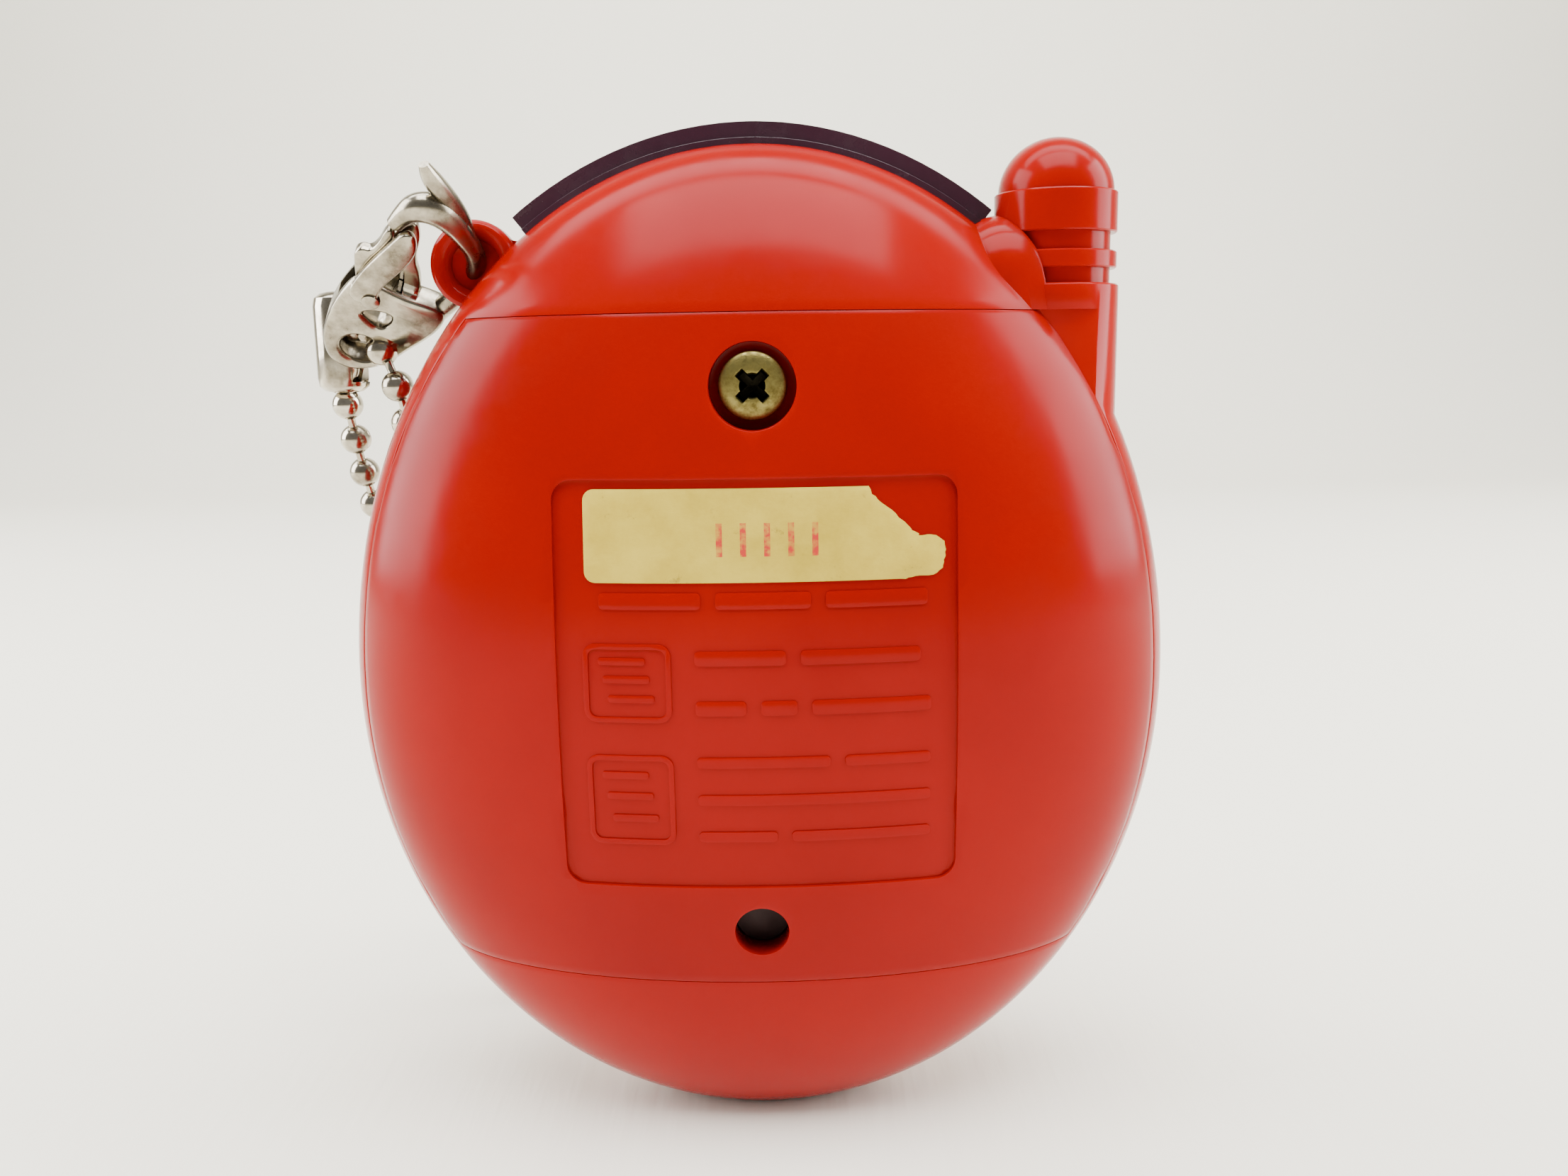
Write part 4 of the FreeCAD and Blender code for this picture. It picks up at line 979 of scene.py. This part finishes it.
def addButtons():
    names = (("left", "button_left"), ("middle", "button_middle"), ("right", "button_right"))
    for (x, z), (side, node) in zip(buttonPlaces, names):
        radius, foot = buttons["radius"], -buttons["foot"]
        top = surfaceDepth(x, z) + 0.6
        steps = [(radius + 0.6, foot), (radius + 0.6, foot + 0.9), (radius, foot + 0.9),
                 (radius, top)]
        for n in range(1, 14):
            turn = math.pi / 2 * n / 14
            steps.append((radius * math.cos(turn), top + 0.68 * math.sin(turn)))
        piece = lathe(side + "Button", steps, alongMinusY, (x, 0, z), 72)
        dress(piece, side + "_button", "button_plastic", [node], 50)


addFace()
addButtons()
print("front face is made")


# trigger clasp, drawn flat and then laid into the lug's hole

clasp = {"top": (19.16, 0.50, 53.88), "long": (-0.595, 0.581, 0.555),
         "across": (-0.804, -0.430, -0.411), "pin": (-1.75, -4.3)}


def layIntoPlace(piece):
    across, long = Vector(clasp["across"]), Vector(clasp["long"])
    turn = Matrix((across, long, across.cross(long))).transposed().to_4x4()
    turn.translation = Vector(clasp["top"]) * mm
    piece.matrix_world = turn
    return settle(piece)


def addSlab(name, outlines, low, high, soft):
    # a flat plate with smooth outlines and rounded edges
    curve = bpy.data.curves.new(name, "CURVE")
    curve.dimensions = "2D"
    curve.fill_mode = "BOTH"
    curve.resolution_u = 5
    curve.extrude = ((high - low) / 2 - soft) * mm
    curve.bevel_depth = soft * mm
    curve.bevel_resolution = 2
    curve.offset = -soft * mm
    for outline in outlines:
        spline = curve.splines.new("NURBS")
        spline.points.add(len(outline) - 1)
        for point, (x, y) in zip(spline.points, outline):
            point.co = (x * mm, y * mm, 0, 1)
        spline.order_u = 3
        spline.use_cyclic_u = True
    piece = bpy.data.objects.new(name, curve)
    bpy.context.scene.collection.objects.link(piece)
    activate(piece)
    bpy.ops.object.convert(target="MESH")
    piece = bpy.context.object
    piece.location.z = (low + high) / 2 * mm
    return mergeClose(settle(piece), 0.002)


def addBentRod(name, points, flatten=1.0):
    # a rod with its own radius at each point: (x, y, radius)
    curve = bpy.data.curves.new(name, "CURVE")
    curve.dimensions = "3D"
    curve.resolution_u = 10
    curve.bevel_depth = 1 * mm
    curve.bevel_resolution = 5
    curve.use_fill_caps = True
    spline = curve.splines.new("NURBS")
    spline.points.add(len(points) - 1)
    for point, (x, y, radius) in zip(spline.points, points):
        point.co = (x * mm, y * mm, 0, 1)
        point.radius = radius
    spline.order_u = 3
    spline.use_endpoint_u = True
    piece = bpy.data.objects.new(name, curve)
    bpy.context.scene.collection.objects.link(piece)
    activate(piece)
    bpy.ops.object.convert(target="MESH")
    piece = bpy.context.object
    piece.scale.z = flatten
    return mergeClose(settle(piece), 0.002)


def circleOutline(x, y, radius, count=12):
    swell = radius / math.cos(math.pi / count)
    return [(x + swell * math.cos(2 * math.pi * n / count), y + swell * math.sin(2 * math.pi * n / count))
            for n in range(count)]


def addClasp():
    # the hook: a bend that keeps a true circle where it runs through the lug's hole
    bend = 2.75
    arc = [(bend * math.cos(math.radians(a)), bend * math.sin(math.radians(a)), 0.6)
           for a in range(0, 51, 10)]
    hook = addBentRod("claspBody", [(1.9, -4.8, 0.7), (2.5, -2.4, 0.64), (2.75, -0.9, 0.6)] + arc
                      + [(1.0, 2.65, 0.66), (0.0, 3.25, 0.78), (-1.2, 3.6, 0.95), (-2.1, 3.1, 0.85),
                         (-2.5, 2.0, 0.6), (-2.6, 1.2, 0.5)])
    base = addSlab("claspBase", [[(-3.2, -3.2), (-3.45, -4.8), (-3.5, -6.6), (-3.3, -8.2),
                                  (-2.9, -9.6), (-2.0, -10.8), (-0.7, -11.0), (0.5, -10.2),
                                  (1.3, -8.9), (1.8, -7.2), (2.4, -5.6), (2.75, -3.9), (2.4, -3.0),
                                  (1.5, -3.0), (-0.4, -3.3), (-2.2, -3.1)],
                                 circleOutline(-0.75, -8.75, 1.2),
                                 [(-1.9, -5.7), (-1.1, -5.1), (-0.2, -4.9), (0.0, -5.6),
                                  (-0.3, -6.5), (-1.2, -6.2)]], -1.0, 1.0, 0.32)
    carve(base, block("leverSlot", (-6, -0.3), (-5.4, 0), (-0.5, 0.5)))
    armSlot = addSlab("armSlot", [[(0.5, -4.6), (1.1, -3.9), (1.7, -4.2), (1.5, -5.8), (1.0, -7.0),
                                   (0.5, -6.4)]], -2.0, -0.35, 0.1)
    carve(base, armSlot)
    carve(hook, base, "UNION")
    cheek = addSlab("claspCheek", [[(-3.1, -4.9), (-3.15, -3.4), (-2.9, -1.6), (-2.5, 0.2),
                                    (-2.2, 1.6), (-1.6, 1.9), (-0.95, 0.9), (-1.0, -0.7),
                                    (-1.7, -3.2), (-1.2, -4.8)]], 0.5, 1.1, 0.16)
    carve(hook, cheek, "UNION")
    farCheek = addSlab("farCheek", [[(-3.0, -4.6), (-2.8, -2.4), (-2.3, 0.4), (-1.6, 1.7),
                                     (-0.8, 0.5), (-0.5, -1.2), (0.3, -2.2), (0.9, -3.6),
                                     (-0.2, -4.7)]], -1.1, -0.5, 0.16)
    carve(hook, farCheek, "UNION")
    horn = addBentRod("claspHorn", [(-2.85, 5.8, 0.3), (-2.4, 5.35, 0.52), (-1.5, 4.75, 0.62),
                                    (-0.4, 4.15, 0.55), (0.7, 3.3, 0.5), (1.3, 2.6, 0.4)])
    horn.location.z = -0.35 * mm
    carve(hook, settle(horn), "UNION")
    mergeClose(hook, 0.01)
    layIntoPlace(hook)
    dress(hook, "clasp", "clasp_nickel", ["clasp_body"], 45)
    lever = addSlab("claspLever", [[(-1.2, -4.6), (-1.75, -5.1), (-2.4, -4.8), (-3.0, -3.8),
                                    (-3.5, -2.7), (-3.85, -1.8), (-3.5, -1.3), (-3.1, -1.3),
                                    (-2.9, -0.4), (-2.95, 0.6), (-2.7, 0.95), (-2.3, 0.6),
                                    (-2.1, -0.8), (-1.7, -2.4), (-1.2, -3.6)]], -0.4, 0.4, 0.15)
    layIntoPlace(lever)
    dress(lever, "lever", "clasp_nickel", ["clasp_lever"], 45)
    steps = [(0.34, -1.2), (0.34, 1.1), (0.55, 1.1), (0.52, 1.22), (0.3, 1.3)]
    pin = layIntoPlace(lathe("claspPin", steps, at=(*clasp["pin"], 0), segments=32))
    dress(pin, "clasp", "clasp_nickel", ["clasp_pin"])


addClasp()
print("clasp is made")


# the other CAD parts keep their shapes and take their finishes

def dressCadNodes():
    slotOf = {row["node"]: row["material_slot"] for row in frame["record"]["subparts"]}
    for name, node in frame["nodes"].items():
        if not node.hide_render:
            node.data.materials.clear()
            node.data.materials.append(finishes[slotOf[name]])


dressCadNodes()


# stage and light

studio = {"floor": (0.80, 0.77, 0.67), "overhead": 6.0, "sides": 4.4, "back": 9.0, "room": 0.3}


def addStage():
    sweep = addPrimitive("plane", "sweep", size=2, location=(0, 1.6, -0.00002))
    sweep.scale = (4, 2, 1)
    settle(sweep)
    pick(sweep, "edges", lambda edge: all(v.co.y < -0.39 for v in edge.verts))
    radius, count = 0.22, 14
    for n in range(count):
        turn = math.radians(90 * (n + 0.5) / count)
        length = radius * math.radians(90) / count
        step = (0, -length * math.cos(turn), length * math.sin(turn))
        bpy.ops.mesh.extrude_region_move(TRANSFORM_OT_translate={"value": step})
    bpy.ops.mesh.extrude_region_move(TRANSFORM_OT_translate={"value": (0, 0, 2.2)})
    leaveEdit()
    activate(sweep)
    bpy.ops.object.shade_smooth()
    material, nodes, links, shader, place = startFinish("paleCloth", Roughness=0.9)
    ribs = addNoise(nodes, links, place, 900, 2, 0.5, ((0, 0, 0), (1, 0.12, 1)))
    cloud = addNoise(nodes, links, place, 14, 3)
    tone = studio["floor"]
    soft = tuple(c * 0.97 for c in tone)
    links.new(mixColours(nodes, links, cloud, tone, soft), shader.inputs["Base Color"])
    addBump(nodes, links, shader, ribs, 0.15, strength=0.35)
    sweep.data.materials.append(material)


def addLamp(name, at, size, power, aim=(0, 0, 0.03)):
    bpy.ops.object.light_add(type="AREA", location=at)
    lamp = bpy.context.object
    lamp.name = name
    lamp.data.shape = "RECTANGLE"
    lamp.data.size, lamp.data.size_y = size
    lamp.data.energy = power
    lamp.rotation_euler = (Vector(aim) - Vector(at)).to_track_quat("-Z", "Y").to_euler()


def addLight():
    world = bpy.data.worlds.new("room")
    world.use_nodes = True
    background = world.node_tree.nodes["Background"]
    background.inputs["Color"].default_value = (1.0, 0.985, 0.95, 1)
    background.inputs["Strength"].default_value = studio["room"]
    bpy.context.scene.world = world
    addLamp("overhead", (0, 0.16, 0.52), (0.5, 0.3), studio["overhead"])
    addLamp("backWash", (0, -0.12, 0.6), (1.0, 0.3), studio["back"], (0, -0.62, 0.12))
    addLamp("sideLeft", (0.42, 0.0, 0.2), (0.3, 0.36), studio["sides"])
    addLamp("sideRight", (-0.42, 0.0, 0.2), (0.3, 0.36), studio["sides"])


addStage()
addLight()
print("stage and light are set")
